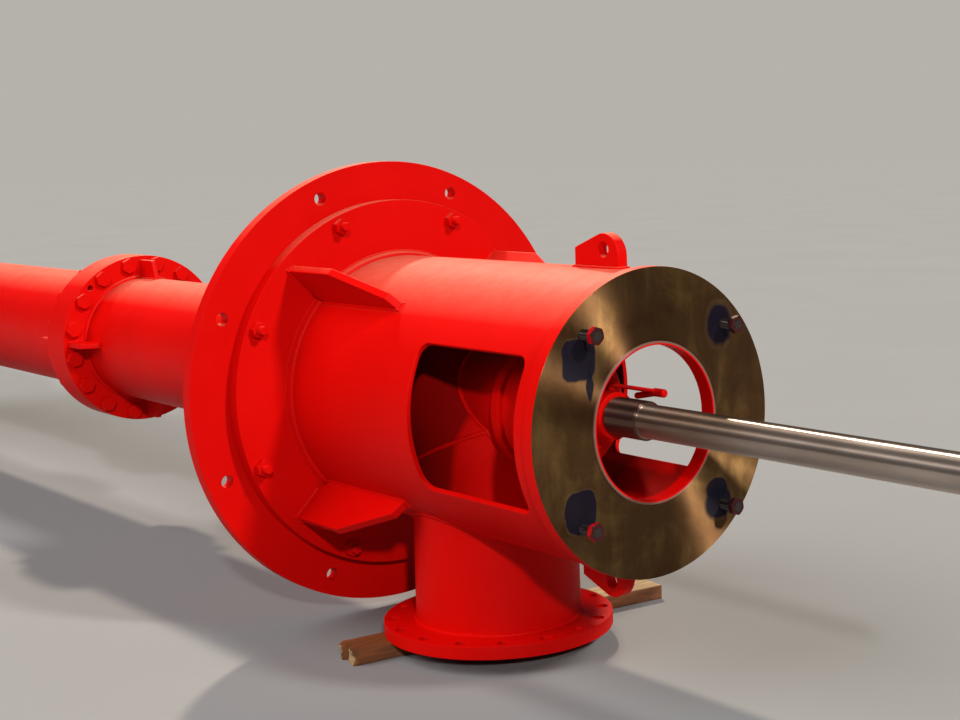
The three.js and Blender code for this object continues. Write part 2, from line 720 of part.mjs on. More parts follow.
// Timber under the discharge flange, and a stack with a hollowed block under the pump bowl
function addBearers() {
  const bearer = addPiece(
    "front_bearer",
    new THREE.BoxGeometry(BEARER_WIDTH, BEARER_LENGTH, BEARER_HEIGHT - SEAM_GAP),
    timber(),
  );
  bearer.position.set(BEARER_X, BEARER_Y, -DISCHARGE_FACE_DROP - (BEARER_HEIGHT + SEAM_GAP) / 2);
  bearer.rotation.z = -radians(BEARER_SKEW_DEGREES);

  const stackX = PUMP_BOWL_TOP - PUMP_BOWL_LENGTH / 2;
  const baulk = new THREE.BoxGeometry(BAULK_WIDTH, BAULK_LENGTH, BAULK_HEIGHT - SEAM_GAP);
  ["lower", "upper"].forEach((name, i) => {
    const mesh = addPiece("rear_baulk_" + name, baulk, timber());
    mesh.position.set(stackX, 0, -AXIS_HEIGHT + (i + 0.5) * BAULK_HEIGHT - SEAM_GAP / 2);
  });
  const saddleBottom = -AXIS_HEIGHT + 2 * BAULK_HEIGHT;
  const block = new THREE.BoxGeometry(SADDLE_WIDTH, SADDLE_LENGTH, -SADDLE_TOP_DROP - saddleBottom);
  block.translate(stackX, 0, (-SADDLE_TOP_DROP + saddleBottom) / 2);
  const bowl = bar(stackX - SADDLE_WIDTH, stackX + SADDLE_WIDTH, BOWL_BULGE_RADIUS + SEAM_GAP, BOWL_SIDES);
  addPiece("rear_saddle", cut(block, bowl), timber());
}

addBase();
addBarrel();
addMotorStuds();
addGussets();
addLugs();
addDischarge();
addStuffingBox();
addShaft();
addColumn();
addBowls();
addBearers();

export default root;
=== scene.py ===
"""Looks of a vertical turbine pump that lies on timber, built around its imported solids.

All sizes are metres, and all named angles are degrees. The pump's own frame has X = 0 at the top face of
the sole plate, the pump axis as its X axis and +Z up. Its shapes are made in that frame and then moved to
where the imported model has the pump. The timber goes by its own boxes in that model.
"""
import math
import random

import bmesh
import bpy
from mathutils import Matrix, Vector, geometry, noise


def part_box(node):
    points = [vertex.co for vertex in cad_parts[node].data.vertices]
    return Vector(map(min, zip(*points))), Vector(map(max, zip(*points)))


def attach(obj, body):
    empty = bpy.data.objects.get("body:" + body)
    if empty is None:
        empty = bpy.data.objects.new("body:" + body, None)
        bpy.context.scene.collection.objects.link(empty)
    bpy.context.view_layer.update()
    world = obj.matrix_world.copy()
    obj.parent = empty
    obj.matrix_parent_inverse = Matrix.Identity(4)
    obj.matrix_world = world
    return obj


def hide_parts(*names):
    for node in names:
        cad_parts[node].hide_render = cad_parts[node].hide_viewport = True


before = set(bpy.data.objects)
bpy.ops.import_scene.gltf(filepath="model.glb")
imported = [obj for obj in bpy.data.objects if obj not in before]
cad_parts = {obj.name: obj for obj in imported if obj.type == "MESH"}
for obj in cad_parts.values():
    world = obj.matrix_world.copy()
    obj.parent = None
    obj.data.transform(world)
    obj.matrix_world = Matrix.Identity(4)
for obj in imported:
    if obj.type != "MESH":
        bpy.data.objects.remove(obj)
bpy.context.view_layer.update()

PUMP_BODY = "pump_frame"
SHAFT_BODY = "shaft_line"

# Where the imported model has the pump
SOLE_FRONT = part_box("sole_plate")[1].x
AXIS_HEIGHT = sum(corner.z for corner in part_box("pump_shaft")) / 2
TO_MODEL = Matrix.Translation((SOLE_FRONT, 0, AXIS_HEIGHT))

# Pipes of the column, the elbow and the discharge
PIPE_RADIUS = 0.2032
PIPE_BORE = 0.1905

# Sole plate, base flange and collar
SOLE_RADIUS = 0.5825
SOLE_THICKNESS = 0.038
SOLE_HOLE_CIRCLE = 0.530
SOLE_HOLE = 0.016
BASE_RADIUS = 0.480
BASE_THICKNESS = 0.042
BASE_NUT_CIRCLE = 0.452
BASE_HOLE_COUNT = 8
BASE_STUD_EXCESS = 0.020
BASE_HEAD_HEIGHT = 0.014
COLLAR_FOOT_RADIUS = 0.345
COLLAR_RIM_RADIUS = 0.339
COLLAR_HEIGHT = 0.016
COLLAR_CROWN = 0.003

# Barrel, windows and motor flange
BARREL_RADIUS = 0.333
BARREL_WALL = 0.0125
BARREL_SEAM = -62
BARREL_SEAM_MARGINS = (0.020, 0.006)
BARREL_EDGE = 0.0018
ROLL_STEPS = 168
HEAD_LENGTH = 1.055
WINDOW_START = 0.577
WINDOW_END = 0.981
WINDOW_HALF_HEIGHT = 0.169
WINDOW_CORNER = 0.030
MOTOR_FLANGE_RADIUS = 0.3415
MOTOR_FLANGE_THICKNESS = 0.034
MOTOR_FLANGE_BORE = 0.170
REGISTER_RADIUS = 0.1785
REGISTER_HEIGHT = 0.004
REGISTER_PAINTED = 0.1738
STUD_CIRCLE = 0.290
STUD_TURN = -1.8
STUD_RADIUS = 0.012
STUD_LENGTH = 0.049
STUD_TIP = 0.001
STUD_PITCH = 0.0022

# Where the gussets and studs stand: angles from +Y towards +Z, in degrees
QUARTERS = {"far_upper": 45, "near_upper": 135, "near_lower": 225, "far_lower": 315}

# Gussets and lifting lugs
GUSSET_THICKNESS = 0.020
GUSSET_OUTER = 0.452
GUSSET_STRAIGHT_END = 0.235
GUSSET_SLOPE_END = 0.402
GUSSET_SLOPE_END_RADIUS = 0.374
GUSSET_END = 0.418
GUSSET_NOTCH = 0.034
GUSSET_EDGE = 0.0022
GUSSET_END_BEAD = 0.012
LUG_THICKNESS = 0.028
LUG_START = 0.806
LUG_SHOULDER = 0.378
LUG_HOLE_X = 0.907
LUG_HOLE_HEIGHT = 0.375
LUG_HOLE = 0.017
LUG_ARC = 0.052
LUG_ARC_HEIGHT = 0.360
LUG_ARC_END = 112
LUG_EDGE = 0.003

# Discharge
DISCHARGE_X = 0.452
DISCHARGE_DROP = 0.572
DISCHARGE_FLANGE_RADIUS = 0.2825
DISCHARGE_FLANGE_THICKNESS = 0.032
DISCHARGE_BOLT_CIRCLE = 0.2575
DISCHARGE_BOLT_COUNT = 16
DISCHARGE_BOLT_HOLE = 0.014
LOWER_SEAM = 22.5
LOWER_SEAM_DROP = 0.12
FLANGE_BEAD_RISE = 0.2
UPPER_SEAM = 67.5
THROAT = Vector((DISCHARGE_X - PIPE_RADIUS, 0, -PIPE_RADIUS))
HEEL_FOOT = THROAT + Vector((1, 0, 1)).normalized() * PIPE_RADIUS

# Bearing neck, stuffing box and gland
NECK_RADIUS = 0.141
NECK_BORE = 0.060
NECK_START = 0.350
NECK_END = 0.662
HOUSING_RADIUS = 0.160
HOUSING_END = 0.690
BOX_RADIUS = 0.150
BOX_BORE = 0.045
BOX_SHOULDER = 0.775
BOX_SLOPE = 0.008
BOX_NECK_RADIUS = 0.088
BOX_END = 0.836
SCREW_CIRCLE = 0.118
SCREW_COUNT = 8
SCREW_HEAD = (0.024, 0.010)
GLAND_RADIUS = 0.082
GLAND_FLANGE_END = 0.856
GLAND_SLEEVE = 0.054
GLAND_END = 0.925
GLAND_BORE = 0.0349

# Gland studs, each with its angle in degrees and its length. A slanted prong ends in a knob beside the upper
# stud: the angles of its two ends, its start, its reach into the knob, and the knob's start, end and radius.
GLAND_STUD_CIRCLE = 0.071
GLAND_STUD_RADIUS = 0.0050
GLAND_STUD_PITCH = 0.002
GLAND_STUDS = ((58, 0.160), (238, 0.032))
PRONG_ANGLES = (33, 53)
PRONG_START = 0.925
PRONG_RADIUS = 0.0075
PRONG_IN_KNOB = 0.012
KNOB = (1.003, 1.041, 0.0095)

# Shaft. The ring is a low step at the end of the sleeve, with its length and radius.
SHAFT_RADIUS = 0.034
HEAD_SHAFT_RADIUS = 0.038
HEAD_SHAFT_START = 1.030
SHAFT_SLEEVE_RADIUS = 0.044
SHAFT_SLEEVE_START = 0.927
SHAFT_RING = (0.0022, 0.0398)
THREAD_RADIUS = 0.036
THREAD_CORE = 0.033
THREAD_OVERLAP = 0.006
SHAFT_FOOT, SHAFT_END = [corner.x - SOLE_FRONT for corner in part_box("pump_shaft")]
THREAD_START = SHAFT_END - 0.120
THREAD_PITCH = 0.004
KEYWAY_START = SHAFT_END - 0.320
KEYWAY_END = SHAFT_END - 0.160
KEYWAY_WIDTH = 0.018
KEYWAY_DEPTH = 0.008

# Column, bowls and bell. A bowl's bulge and waist lie at shares of its length.
COLUMN_FACE = -1.557
COLUMN_JOINT_LENGTH = 0.140
COLUMN_FLANGE_RADIUS = 0.279
COLUMN_FLANGE_THICKNESS = 0.032
COLUMN_BOLT_CIRCLE = 0.251
COLUMN_BOLT_COUNT = 16
DOWEL_HOLE = 0.009
DOWEL_HOLE_CIRCLE = 0.256
DOWEL_HOLE_ANGLE = 135
STIFFENER_LENGTH = 0.123
STIFFENER_TOP_LENGTH = 0.094
STIFFENER_THICKNESS = 0.016
STIFFENER_EDGE = 0.014
STIFFENER_ANGLES = (0, 90, 180, 270)
COLUMN_FLANGE_EDGE = 0.0022
SEAM_EDGE = 0.0004
LOWER_COLUMN_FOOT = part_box("lower_column_pipe")[0].x - SOLE_FRONT
LOWER_COLUMN_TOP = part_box("lower_column_pipe")[1].x - SOLE_FRONT
DISCHARGE_BOWL = [corner.x - SOLE_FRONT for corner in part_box("discharge_bowl")]
PUMP_BOWL = [corner.x - SOLE_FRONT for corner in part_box("pump_bowl")]
BELL = [corner.x - SOLE_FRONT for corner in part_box("suction_bell")]
BOWL_FLANGE_RADIUS = 0.300
BOWL_FLANGE_THICKNESS = 0.028
BOWL_BOLT_CIRCLE = 0.278
BOWL_BOLT_COUNT = 16
BOWL_ROOT_RADIUS = 0.252
BOWL_BULGE_RADIUS = 0.290
BOWL_BULGE_START = 0.36
BOWL_BULGE_END = 0.62
BOWL_WAIST_RADIUS = 0.238
BOWL_WAIST_START = 0.8
BOWL_TOP_RADIUS = 0.216
BELL_THROAT_RADIUS = 0.208
BELL_THROAT_LENGTH = 0.132
BELL_MOUTH_RADIUS = 0.325
BELL_WALL = 0.016
BELL_HUB_RADIUS = 0.062
BELL_HUB_LENGTH = 0.176
BELL_VANE_THICKNESS = 0.014
BELL_VANE_LENGTH = 0.132
BELL_VANE_COUNT = 4
BELL_VANE_ROOT = 0.008
BELL_VANE_EDGE = 0.005
BELL_FLARE_STEPS = 20

# Timber. A crack splits the bearer's near end. It has a depth, a reach in rows of vertices, an offset and a
# lean. Its width, and the middle and flat part of the two halves, are shares of half the bearer's width.
# The grain is noise that changes faster across a block than along it, and varies the wear of the edges.
BEARER_LENGTH = 0.912
BEARER_WIDTH = 0.097
BEARER_SKEW = -6.2
CRACK_DEPTH = 0.015
CRACK_ROWS = 6
CRACK_OFFSET = 0.004
CRACK_LEAN = 0.25
CRACK_WIDTH = 0.30
HALF_MIDDLE = 0.52
HALF_FLAT = 0.22
HALF_ROUNDING = 0.10
CRACK_POWER = 0.7
END_ROUGHNESS = 0.016
END_GRAIN = 35
END_SLICE = 3.1
GRAIN_ACROSS = 30
GRAIN_ALONG = 4
FACE_ROUGHNESS = 0.0015
LEAST_WEAR = 0.6
WEAR_SPREAD = 0.8
WEAR_ALONG = 0.1

# Nuts: width across flats, height and, where the bolt is made with its nut, the radius of its thread. A
# column or bowl bolt's head has a share of its nut's height.
COLUMN_NUT = (0.045, 0.024, 0.0140)
BASE_NUT = (0.036, 0.019, 0.0115)
BOWL_NUT = (0.030, 0.016, 0.0095)
MOTOR_NUT = (0.036, 0.013)
GLAND_NUT = (0.030, 0.016)
HEAD_TO_NUT = 0.75
BOLT_EXCESS = 0.010
BOLT_PITCH = 0.003

# Half widths of the weld beads, how far a bead runs past its joint, the spacing of the points along it, and
# the angle in degrees up to which its edges are smooth
COLLAR_WELD = 0.003
BARREL_WELD = 0.005
GUSSET_WELD = 0.0065
GUSSET_END_WELD = 0.008
LUG_WELD = 0.007
MITRE_WELD = 0.0055
SADDLE_WELD = 0.007
FLANGE_WELD = 0.009
HOUSING_WELD = 0.005
NECK_WELD = 0.006
STIFFENER_WELD = 0.005
STIFFENER_BEAD_STEP = 0.004
COLUMN_WELD = 0.011
BEAD_OVERRUN = 0.004
BEAD_STEP = 0.003
WELD_SMOOTH = 80

# Fineness of the round shapes and rounding of edges
FACE_SEGMENTS = 256
LARGE_SEGMENTS = 192
PIPE_SEGMENTS = 144
SHAFT_SEGMENTS = 96
SMALL_SEGMENTS = 48
HOLE_SEGMENTS = 28
EDGE = 0.0016
PLATE_EDGE = 0.002

# How far a piece reaches into its neighbour, and how far a bead or a cut stays off a surface
OVERLAP = 0.001
OFF_SURFACE = 0.001


# Materials

class Shader:
    """A node tree with short calls for adding nodes and joining them."""

    def __init__(self, name):
        self.material = bpy.data.materials.new(name)
        self.material.use_nodes = True
        self.tree = self.material.node_tree
        self.principled = self.tree.nodes["Principled BSDF"]

    def add(self, kind, inputs=None, **settings):
        node = self.tree.nodes.new("ShaderNode" + kind)
        for key, value in settings.items():
            setattr(node, key, value)
        for key, value in (inputs or {}).items():
            self.join(value, node.inputs[key])
        return node

    def join(self, value, socket):
        if isinstance(value, bpy.types.NodeSocket):
            self.tree.links.new(value, socket)
        else:
            socket.default_value = value

    def set(self, **inputs):
        for key, value in inputs.items():
            self.join(value, self.principled.inputs[key.replace("_", " ")])

    def math(self, operation, a, b=0.0, c=0.0, clamp=False):
        return self.add("Math", {0: a, 1: b, 2: c}, operation=operation, use_clamp=clamp).outputs[0]

    def vector(self, operation, a, b=(0, 0, 0)):
        return self.add("VectorMath", {0: a, 1: b}, operation=operation).outputs[0]

    def place(self):
        """Position in the pump's own frame, in metres."""
        return self.vector("ADD", self.add("TexCoord").outputs["Object"], (-SOLE_FRONT, 0, -AXIS_HEIGHT))

    def axis(self, vector, name):
        """One component of a vector: X, Y or Z."""
        return self.add("SeparateXYZ", {0: vector}).outputs[name]

    def facing(self, name):
        """One component of the surface's normal."""
        return self.axis(self.add("NewGeometry").outputs["Normal"], name)

    def noise(self, vector, scale, detail, roughness=0.55, distortion=0.0):
        """Noise with one scale, or with a tuple of three scales, one for each axis."""
        if isinstance(scale, tuple):
            vector = self.add("Mapping", {"Vector": vector, "Scale": scale}).outputs[0]
            scale = 1.0
        inputs = {"Vector": vector, "Scale": scale, "Detail": detail, "Roughness": roughness,
                  "Distortion": distortion}
        return self.add("TexNoise", inputs).outputs["Fac"]

    def ramp(self, value, *stops):
        """A colour ramp. Each stop is (position, colour)."""
        node = self.add("ValToRGB", {"Fac": value})
        elements = node.color_ramp.elements
        while len(elements) < len(stops):
            elements.new(0.5)
        for element, (position, colour) in zip(elements, stops):
            element.position = position
            element.color = (*colour, 1)
        return node.outputs["Color"]

    def grey(self, value, low, high, to_low=0.0, to_high=1.0):
        """Turns the range from low to high into the range from to_low to to_high."""
        inputs = {"Value": value, "From Min": low, "From Max": high, "To Min": to_low, "To Max": to_high}
        return self.add("MapRange", inputs).outputs["Result"]

    def mix(self, factor, a, b):
        node = self.add("MixRGB", {"Fac": factor})
        for colour, socket in ((a, "Color1"), (b, "Color2")):
            self.join((*colour, 1) if isinstance(colour, tuple) else colour, node.inputs[socket])
        return node.outputs["Color"]

    def bump(self, height, distance, strength, normal=None):
        inputs = {"Height": height, "Distance": distance, "Strength": strength}
        if normal is not None:
            inputs["Normal"] = normal
        return self.add("Bump", inputs).outputs["Normal"]

    def turned_finish(self):
        """Highlights of metal whose fine marks run round the pump axis."""
        tangent = self.add("Tangent", direction_type="RADIAL", axis="X").outputs[0]
        self.set(Anisotropic=1.0, Anisotropic_Rotation=0.25, Tangent=tangent)


def red_paint(name, inner_shade=None):
    """Semi-gloss red enamel over plate: orange peel, long waves, and on what faces up high a lighter salmon
    tone, which is painted sheen mixed with a patchy fade of the paint.

    The last argument paints shade on what lies inside the head, darker deeper in and higher up: x where
    the painted shade is darkest, x where it ends, what is left of the colour in the shade, how far its edge
    leans and how uneven its edge is. What lies as far from the axis as the barrel's outside keeps its full
    colour.
    """
    s = Shader(name)
    place = s.place()
    height = s.axis(place, "Z")
    base = s.mix(s.grey(s.noise(place, 2.2, 3), 0.35, 0.65), (0.58, 0.0014, 0.0006), (0.65, 0.0022, 0.0009))
    # Painted shade inside the head: the colour goes towards near black deeper in and higher up.
    if inner_shade:
        start, end, left, lean, uneven = inner_shade
        across = s.axis(place, "Y")
        from_axis = s.math("SQRT", s.math("MULTIPLY_ADD", across, across, s.math("POWER", height, 2.0)))
        outside = s.grey(from_axis, BARREL_RADIUS - BARREL_WALL, BARREL_RADIUS)
        slanted = s.math("MULTIPLY_ADD", height, -lean, s.axis(place, "X"))
        edge = s.math("MULTIPLY_ADD", s.noise(place, 7, 5, 0.6), uneven, slanted)
        unshaded = s.math("MAXIMUM", s.grey(edge, start, end, left, 1.0), outside)
        base = s.mix(unshaded, (0.004, 0.0012, 0.0012), base)
    # Painted sheen mixed with a patchy fade of the paint: faces that point up, above the pump axis, turn a
    # lighter salmon.
    fade_and_sheen = s.math("MULTIPLY", s.grey(s.facing("Z"), 0.66, 0.95), s.grey(height, 0.05, 0.19))
    patchy = s.grey(s.noise(place, 26, 5), 0.35, 0.7, 0.75, 1.0)
    fade_and_sheen = s.math("MULTIPLY", fade_and_sheen, patchy, clamp=True)
    s.set(Base_Color=s.mix(fade_and_sheen, base, (0.66, 0.125, 0.078)), Specular_IOR_Level=0.07)
    rough = s.grey(s.noise(place, 9, 4), 0.3, 0.7, 0.46, 0.54)
    s.set(Roughness=s.math("MULTIPLY_ADD", fade_and_sheen, 0.05, rough))
    peel = s.bump(s.noise(place, 260, 2), 0.00010, 0.4)
    s.set(Normal=s.bump(s.noise(place, 7, 2), 0.0012, 0.3, peel))
    return s.material


def turned_face():
    """Machined face of the motor flange: marks of the lathe, an oily bronze tarnish and blue dye."""
    s = Shader("machined_face")
    place = s.place()
    flat = s.vector("MULTIPLY", place, (0, 1, 1))
    radius = s.add("VectorMath", {0: flat}, operation="LENGTH").outputs["Value"]
    rings = s.noise(s.add("CombineXYZ", {0: s.math("MULTIPLY", radius, 420)}).outputs[0], 1.0, 6, 0.7)
    cloud = s.noise(place, 5, 7, 0.62, 0.8)
    smear = s.noise(place, (1, 16, 3.5), 5, 0.6, 0.4)
    tarnish = s.math("MULTIPLY_ADD", smear, 0.35, s.math("MULTIPLY", cloud, 0.65))
    colour = s.ramp(tarnish, (0.36, (0.120, 0.057, 0.025)), (0.50, (0.175, 0.090, 0.037)),
                    (0.62, (0.32, 0.185, 0.065)))
    dye = 0.0
    for patch in DYE_PATCHES:
        colour, dye = dye_patch(s, place, flat, colour, dye, *patch)
    s.set(Base_Color=colour, Metallic=s.math("SUBTRACT", 1.0, dye), Specular_IOR_Level=0.1)
    s.set(Roughness=s.math("ADD", s.grey(cloud, 0.3, 0.7, 0.41, 0.48), s.math("MULTIPLY", dye, 0.10)))
    s.set(Normal=s.bump(rings, 0.00006, 0.6))
    s.turned_finish()
    return s.material


def dye_patch(s, place, flat, colour, covered, centre, size, square, softness):
    """Adds a patch of marking dye with an uneven edge. A higher square makes it more like a rectangle."""
    offset = s.vector("ADD", flat, (0, -centre[0], -centre[1]))
    scaled = s.vector("ABSOLUTE", s.vector("MULTIPLY", offset, (0, 1 / size[0], 1 / size[1])))
    powers = [s.math("POWER", s.axis(scaled, name), square) for name in "YZ"]
    distance = s.math("POWER", s.math("ADD", *powers), 1 / square)
    uneven = s.math("MULTIPLY_ADD", s.noise(place, 22, 5, 0.65), 0.30, distance)
    patch = s.grey(uneven, 1.13 - softness, 1.17 + softness, 0.97, 0.0)
    return s.mix(patch, colour, (0.0045, 0.0045, 0.013)), s.math("MAXIMUM", covered, patch)


def bare_steel(name, colour, stain_colour, roughness, metal, oil, stain=0.5):
    """Turned or ground steel with fine marks round the axis, brown stains along it and a film of oil."""
    s = Shader(name)
    place = s.place()
    stains = s.grey(s.noise(place, (1.3, 9, 9), 5), 0.35, 0.72, 0.0, stain)
    cloud = s.grey(s.noise(place, (5, 12, 12), 6, 0.6), 0.3, 0.7)
    s.set(Base_Color=s.mix(stains, colour, stain_colour), Metallic=metal)
    s.set(Roughness=s.math("MULTIPLY_ADD", cloud, 0.08, roughness), Coat_Weight=oil, Coat_Roughness=0.06)
    s.set(Normal=s.bump(s.noise(place, (900, 3, 3), 3), 0.00003, 0.4))
    s.turned_finish()
    return s.material


def stud_steel():
    """Dark oiled thread that catches one narrow, sharp light."""
    s = Shader("stud_steel")
    cloud = s.noise(s.place(), 60, 4, 0.6)
    s.set(Base_Color=s.mix(cloud, (0.018, 0.013, 0.012), (0.040, 0.026, 0.022)))
    s.set(Metallic=0.7, Roughness=s.grey(cloud, 0.3, 0.7, 0.18, 0.26), Coat_Weight=0.6, Coat_Roughness=0.08)
    return s.material


def nut_paint():
    """Red paint brushed on the sides of a nut. Its outer face is dark with oil and only tinged with red."""
    s = Shader("nut_paint")
    place = s.place()
    patchy = s.grey(s.noise(place, 55, 4, 0.6), 0.3, 0.6, 0.45, 1.0)
    near = s.mix(patchy, (0.10, 0.002, 0.006), (0.50, 0.002, 0.006))
    side = s.mix(s.grey(s.axis(place, "Y"), -0.1, 0.1), near, (0.045, 0.010, 0.010))
    s.set(Base_Color=s.mix(s.grey(s.facing("X"), 0.2, 0.6), side, (0.045, 0.004, 0.005)))
    s.set(Roughness=0.34, Specular_IOR_Level=0.25)
    return s.material


def timber(name, sunlit, dark, scale=1.0, pale=None):
    """Rough sawn softwood, weathered and dirty, with its grain along Y. pale is for its ends and far top."""
    s = Shader(name)
    place = s.place()
    grain = s.noise(place, (55 * scale, 2.6 * scale, 55 * scale), 7, 0.65, 1.4)
    middle = tuple((a + b) / 2 for a, b in zip(dark, sunlit))
    wood = s.ramp(grain, (0.30, dark), (0.50, middle), (0.70, sunlit))
    toned = s.mix(s.grey(s.noise(place, (9, 1.2, 9), 3), 0.3, 0.7, 0.0, 0.5), wood, dark)
    dirt = s.grey(s.noise(place, 11, 5, 0.7), 0.5, 0.75, 0.0, 0.6)
    colour = s.mix(dirt, toned, (0.038, 0.023, 0.014))
    if pale:
        # Paler on the sawn ends and on the top of the bearer's far end.
        far = s.grey(s.axis(place, "Y"), 0.22, 0.36)
        far_top = s.math("MULTIPLY", s.grey(s.facing("Z"), 0.6, 0.9), far)
        cut_end = s.grey(s.math("ABSOLUTE", s.facing("Y")), 0.75, 0.9, 0.0, 0.75)
        uneven = s.grey(grain, 0.3, 0.62, 0.35, 0.95)
        paler = s.math("MULTIPLY", s.math("MAXIMUM", far_top, cut_end), uneven)
        colour = s.mix(paler, colour, pale)
    s.set(Base_Color=colour, Roughness=0.82)
    saw_marks = s.bump(s.noise(place, (6, 190, 6), 2), 0.0012, 0.5)
    s.set(Normal=s.bump(grain, 0.0022, 0.9, saw_marks))
    return s.material


def floor_material():
    """Plain pale floor with a barely visible cloudiness."""
    s = Shader("floor")
    cloud = s.noise(s.add("TexCoord").outputs["Object"], 0.8, 4)
    s.set(Base_Color=s.mix(cloud, (0.232, 0.238, 0.243), (0.258, 0.265, 0.270)))
    s.set(Roughness=1.0, Specular_IOR_Level=0.0)
    return s.material


# Patches of dark blue dye on the machined face: centre (y, z), half size, squareness and softness. The last
# is a drip.
DYE_PATCHES = (
    ((-0.211, 0.159), (0.046, 0.045), 4.5, 0.03),
    ((-0.216, -0.163), (0.044, 0.047), 3.0, 0.03),
    ((0.199, 0.197), (0.040, 0.050), 2.5, 0.16),
    ((0.186, -0.207), (0.042, 0.036), 2.5, 0.10),
    ((0.180, -0.172), (0.034, 0.024), 2.0, 0.10),
    ((-0.183, 0.100), (0.011, 0.036), 1.3, 0.05),
)

PAINT = red_paint("red_paint")
# Red paint with painted shade deep inside the head: on the elbow, and on the barrel's inner wall.
ELBOW_SHADED_PAINT = red_paint("elbow_shaded_paint", (0.562, 0.580, 0.42, 0.15, 0.020))
INNER_SHADED_PAINT = red_paint("inner_shaded_paint", (0.84, 0.98, 0.17, 0.8, 0.09))
NUT_PAINT = nut_paint()
FACE = turned_face()
SHAFT_STEEL = bare_steel("shaft_steel", (0.60, 0.50, 0.44), (0.22, 0.135, 0.085), 0.35, 0.94, 0.10, 0.9)
DARK_STEEL = bare_steel("dark_steel", (0.18, 0.100, 0.078), (0.09, 0.050, 0.038), 0.35, 0.9, 0.12)
BRONZED = bare_steel("register_steel", (0.30, 0.140, 0.112), (0.20, 0.088, 0.066), 0.55, 0.35, 0.0)
STUD_STEEL = stud_steel()
BEARER_WOOD = timber("bearer_wood", (0.31, 0.098, 0.024), (0.085, 0.030, 0.010), pale=(0.54, 0.40, 0.21))
BAULK_WOOD = timber("baulk_wood", (0.33, 0.21, 0.115), (0.11, 0.070, 0.042), 0.7)


# Shapes

def filleted(points, radius=EDGE, steps=3, closed=True):
    """Rounds the corners of a list of (x, y) points. A third value in a point is its own radius."""
    rounded = []
    count = len(points)
    for i, point in enumerate(points):
        here = Vector(point[:2])
        own = point[2] if len(point) > 2 else radius
        if not own or (not closed and i in (0, count - 1)):
            rounded.append(tuple(here))
            continue
        before = Vector(points[i - 1][:2]) - here
        after = Vector(points[(i + 1) % count][:2]) - here
        half = before.angle(after) / 2
        if half > math.radians(88):
            rounded.append(tuple(here))
            continue
        reach = min(own / math.tan(half), 0.45 * before.length, 0.45 * after.length)
        own = reach * math.tan(half)
        start, end = here + before.normalized() * reach, here + after.normalized() * reach
        centre = here + (before.normalized() + after.normalized()).normalized() * (own / math.sin(half))
        sweep = (start - centre).angle_signed(end - centre)
        for k in range(steps + 1):
            turn = Matrix.Rotation(-sweep * k / steps, 2)
            rounded.append(tuple(centre + turn @ (start - centre)))
    return rounded


def circle(radius, count, centre=(0, 0), start=0.0):
    turns = [start + 2 * math.pi * i / count for i in range(count)]
    return [(centre[0] + radius * math.cos(a), centre[1] + radius * math.sin(a)) for a in turns]


def arc(centre, radius, first, last, steps):
    angles = [math.radians(first + (last - first) * i / steps) for i in range(steps + 1)]
    return [(centre[0] + radius * math.cos(a), centre[1] + radius * math.sin(a)) for a in angles]


def skin(bm, rings, closed=False, capped=False):
    """Joins rings of vertices with faces. closed joins the last to the first, and capped fills both ends."""
    for one, two in zip(rings, rings[1:] + rings[:1] if closed else rings[1:]):
        for i in range(len(one)):
            j = (i + 1) % len(one)
            bm.faces.new((one[i], one[j], two[j], two[i]))
    if capped:
        bm.faces.new(rings[0][::-1])
        bm.faces.new(rings[-1])


def ring_of(bm, place, points):
    """Vertices at points that are given as (x, radius, angle) round the X axis of a place."""
    return [bm.verts.new(place @ Vector((x, r * math.cos(a), r * math.sin(a)))) for x, r, a in points]


def turned(profile, segments=PIPE_SEGMENTS):
    """A body of revolution about X. A profile that touches the axis is open, any other is closed."""
    bm = bmesh.new()
    rings = []
    for x, radius in profile:
        if radius < 1e-7:
            rings.append([bm.verts.new((x, 0, 0))])
        else:
            rings.append([bm.verts.new((x, y, z)) for y, z in circle(radius, segments)])
    pairs = list(zip(rings, rings[1:]))
    if profile[0][1] > 1e-7:
        pairs.append((rings[-1], rings[0]))
    for one, two in pairs:
        for i in range(segments):
            j = (i + 1) % segments
            corners = [one[i % len(one)], one[j % len(one)], two[j % len(two)], two[i % len(two)]]
            corners = [v for k, v in enumerate(corners) if v not in corners[:k]]
            if len(corners) > 2:
                bm.faces.new(corners)
    return bm


def inset(loop, distance):
    """The loop moved to its left by a distance, corner by corner."""
    moved = []
    for i, point in enumerate(loop):
        here = Vector(point)
        before = (here - Vector(loop[i - 1])).normalized()
        after = (Vector(loop[(i + 1) % len(loop)]) - here).normalized()
        left = Vector((-before.y - after.y, before.x + after.x))
        cosine = math.sqrt(max(0.1, (1 + before.dot(after)) / 2))
        moved.append(tuple(here + left.normalized() * (distance / cosine)))
    return moved


def is_left_turning(loop):
    return sum(a[0] * b[1] - b[0] * a[1] for a, b in zip(loop, loop[1:] + loop[:1])) > 0


def plate(outline, thickness, holes=(), edge=PLATE_EDGE, steps=2, back=None):
    """A flat plate in the XY plane, centred on Z = 0, with rounded edges. back is for the lower edges."""
    back = edge if back is None else back
    quarter = [math.pi / 2 * k / steps for k in range(steps + 1)]
    levels = [(back * (1 - math.sin(a)), back * (1 - math.cos(a)) - thickness / 2) for a in quarter]
    levels += [(edge * (1 - math.sin(a)), thickness / 2 - edge * (1 - math.cos(a))) for a in quarter[::-1]]
    bm = bmesh.new()
    bottom, top = [], []
    for number, loop in enumerate([outline, *holes]):
        if is_left_turning(loop) != (number == 0):
            loop = loop[::-1]
        rings = [[bm.verts.new((*point, z)) for point in inset(loop, distance)] for distance, z in levels]
        skin(bm, rings)
        bottom.append(rings[0])
        top.append(rings[-1])
    for rings, turn in ((bottom, -1), (top, 1)):
        flat = [vertex for ring in rings for vertex in ring]
        triangles = geometry.tessellate_polygon([[v.co.to_3d() for v in ring] for ring in rings])
        for triangle in triangles:
            corners = [flat[i] for i in triangle]
            if len(set(corners)) == 3 and not bm.faces.get(corners):
                bm.faces.new(corners[::turn])
    return bm


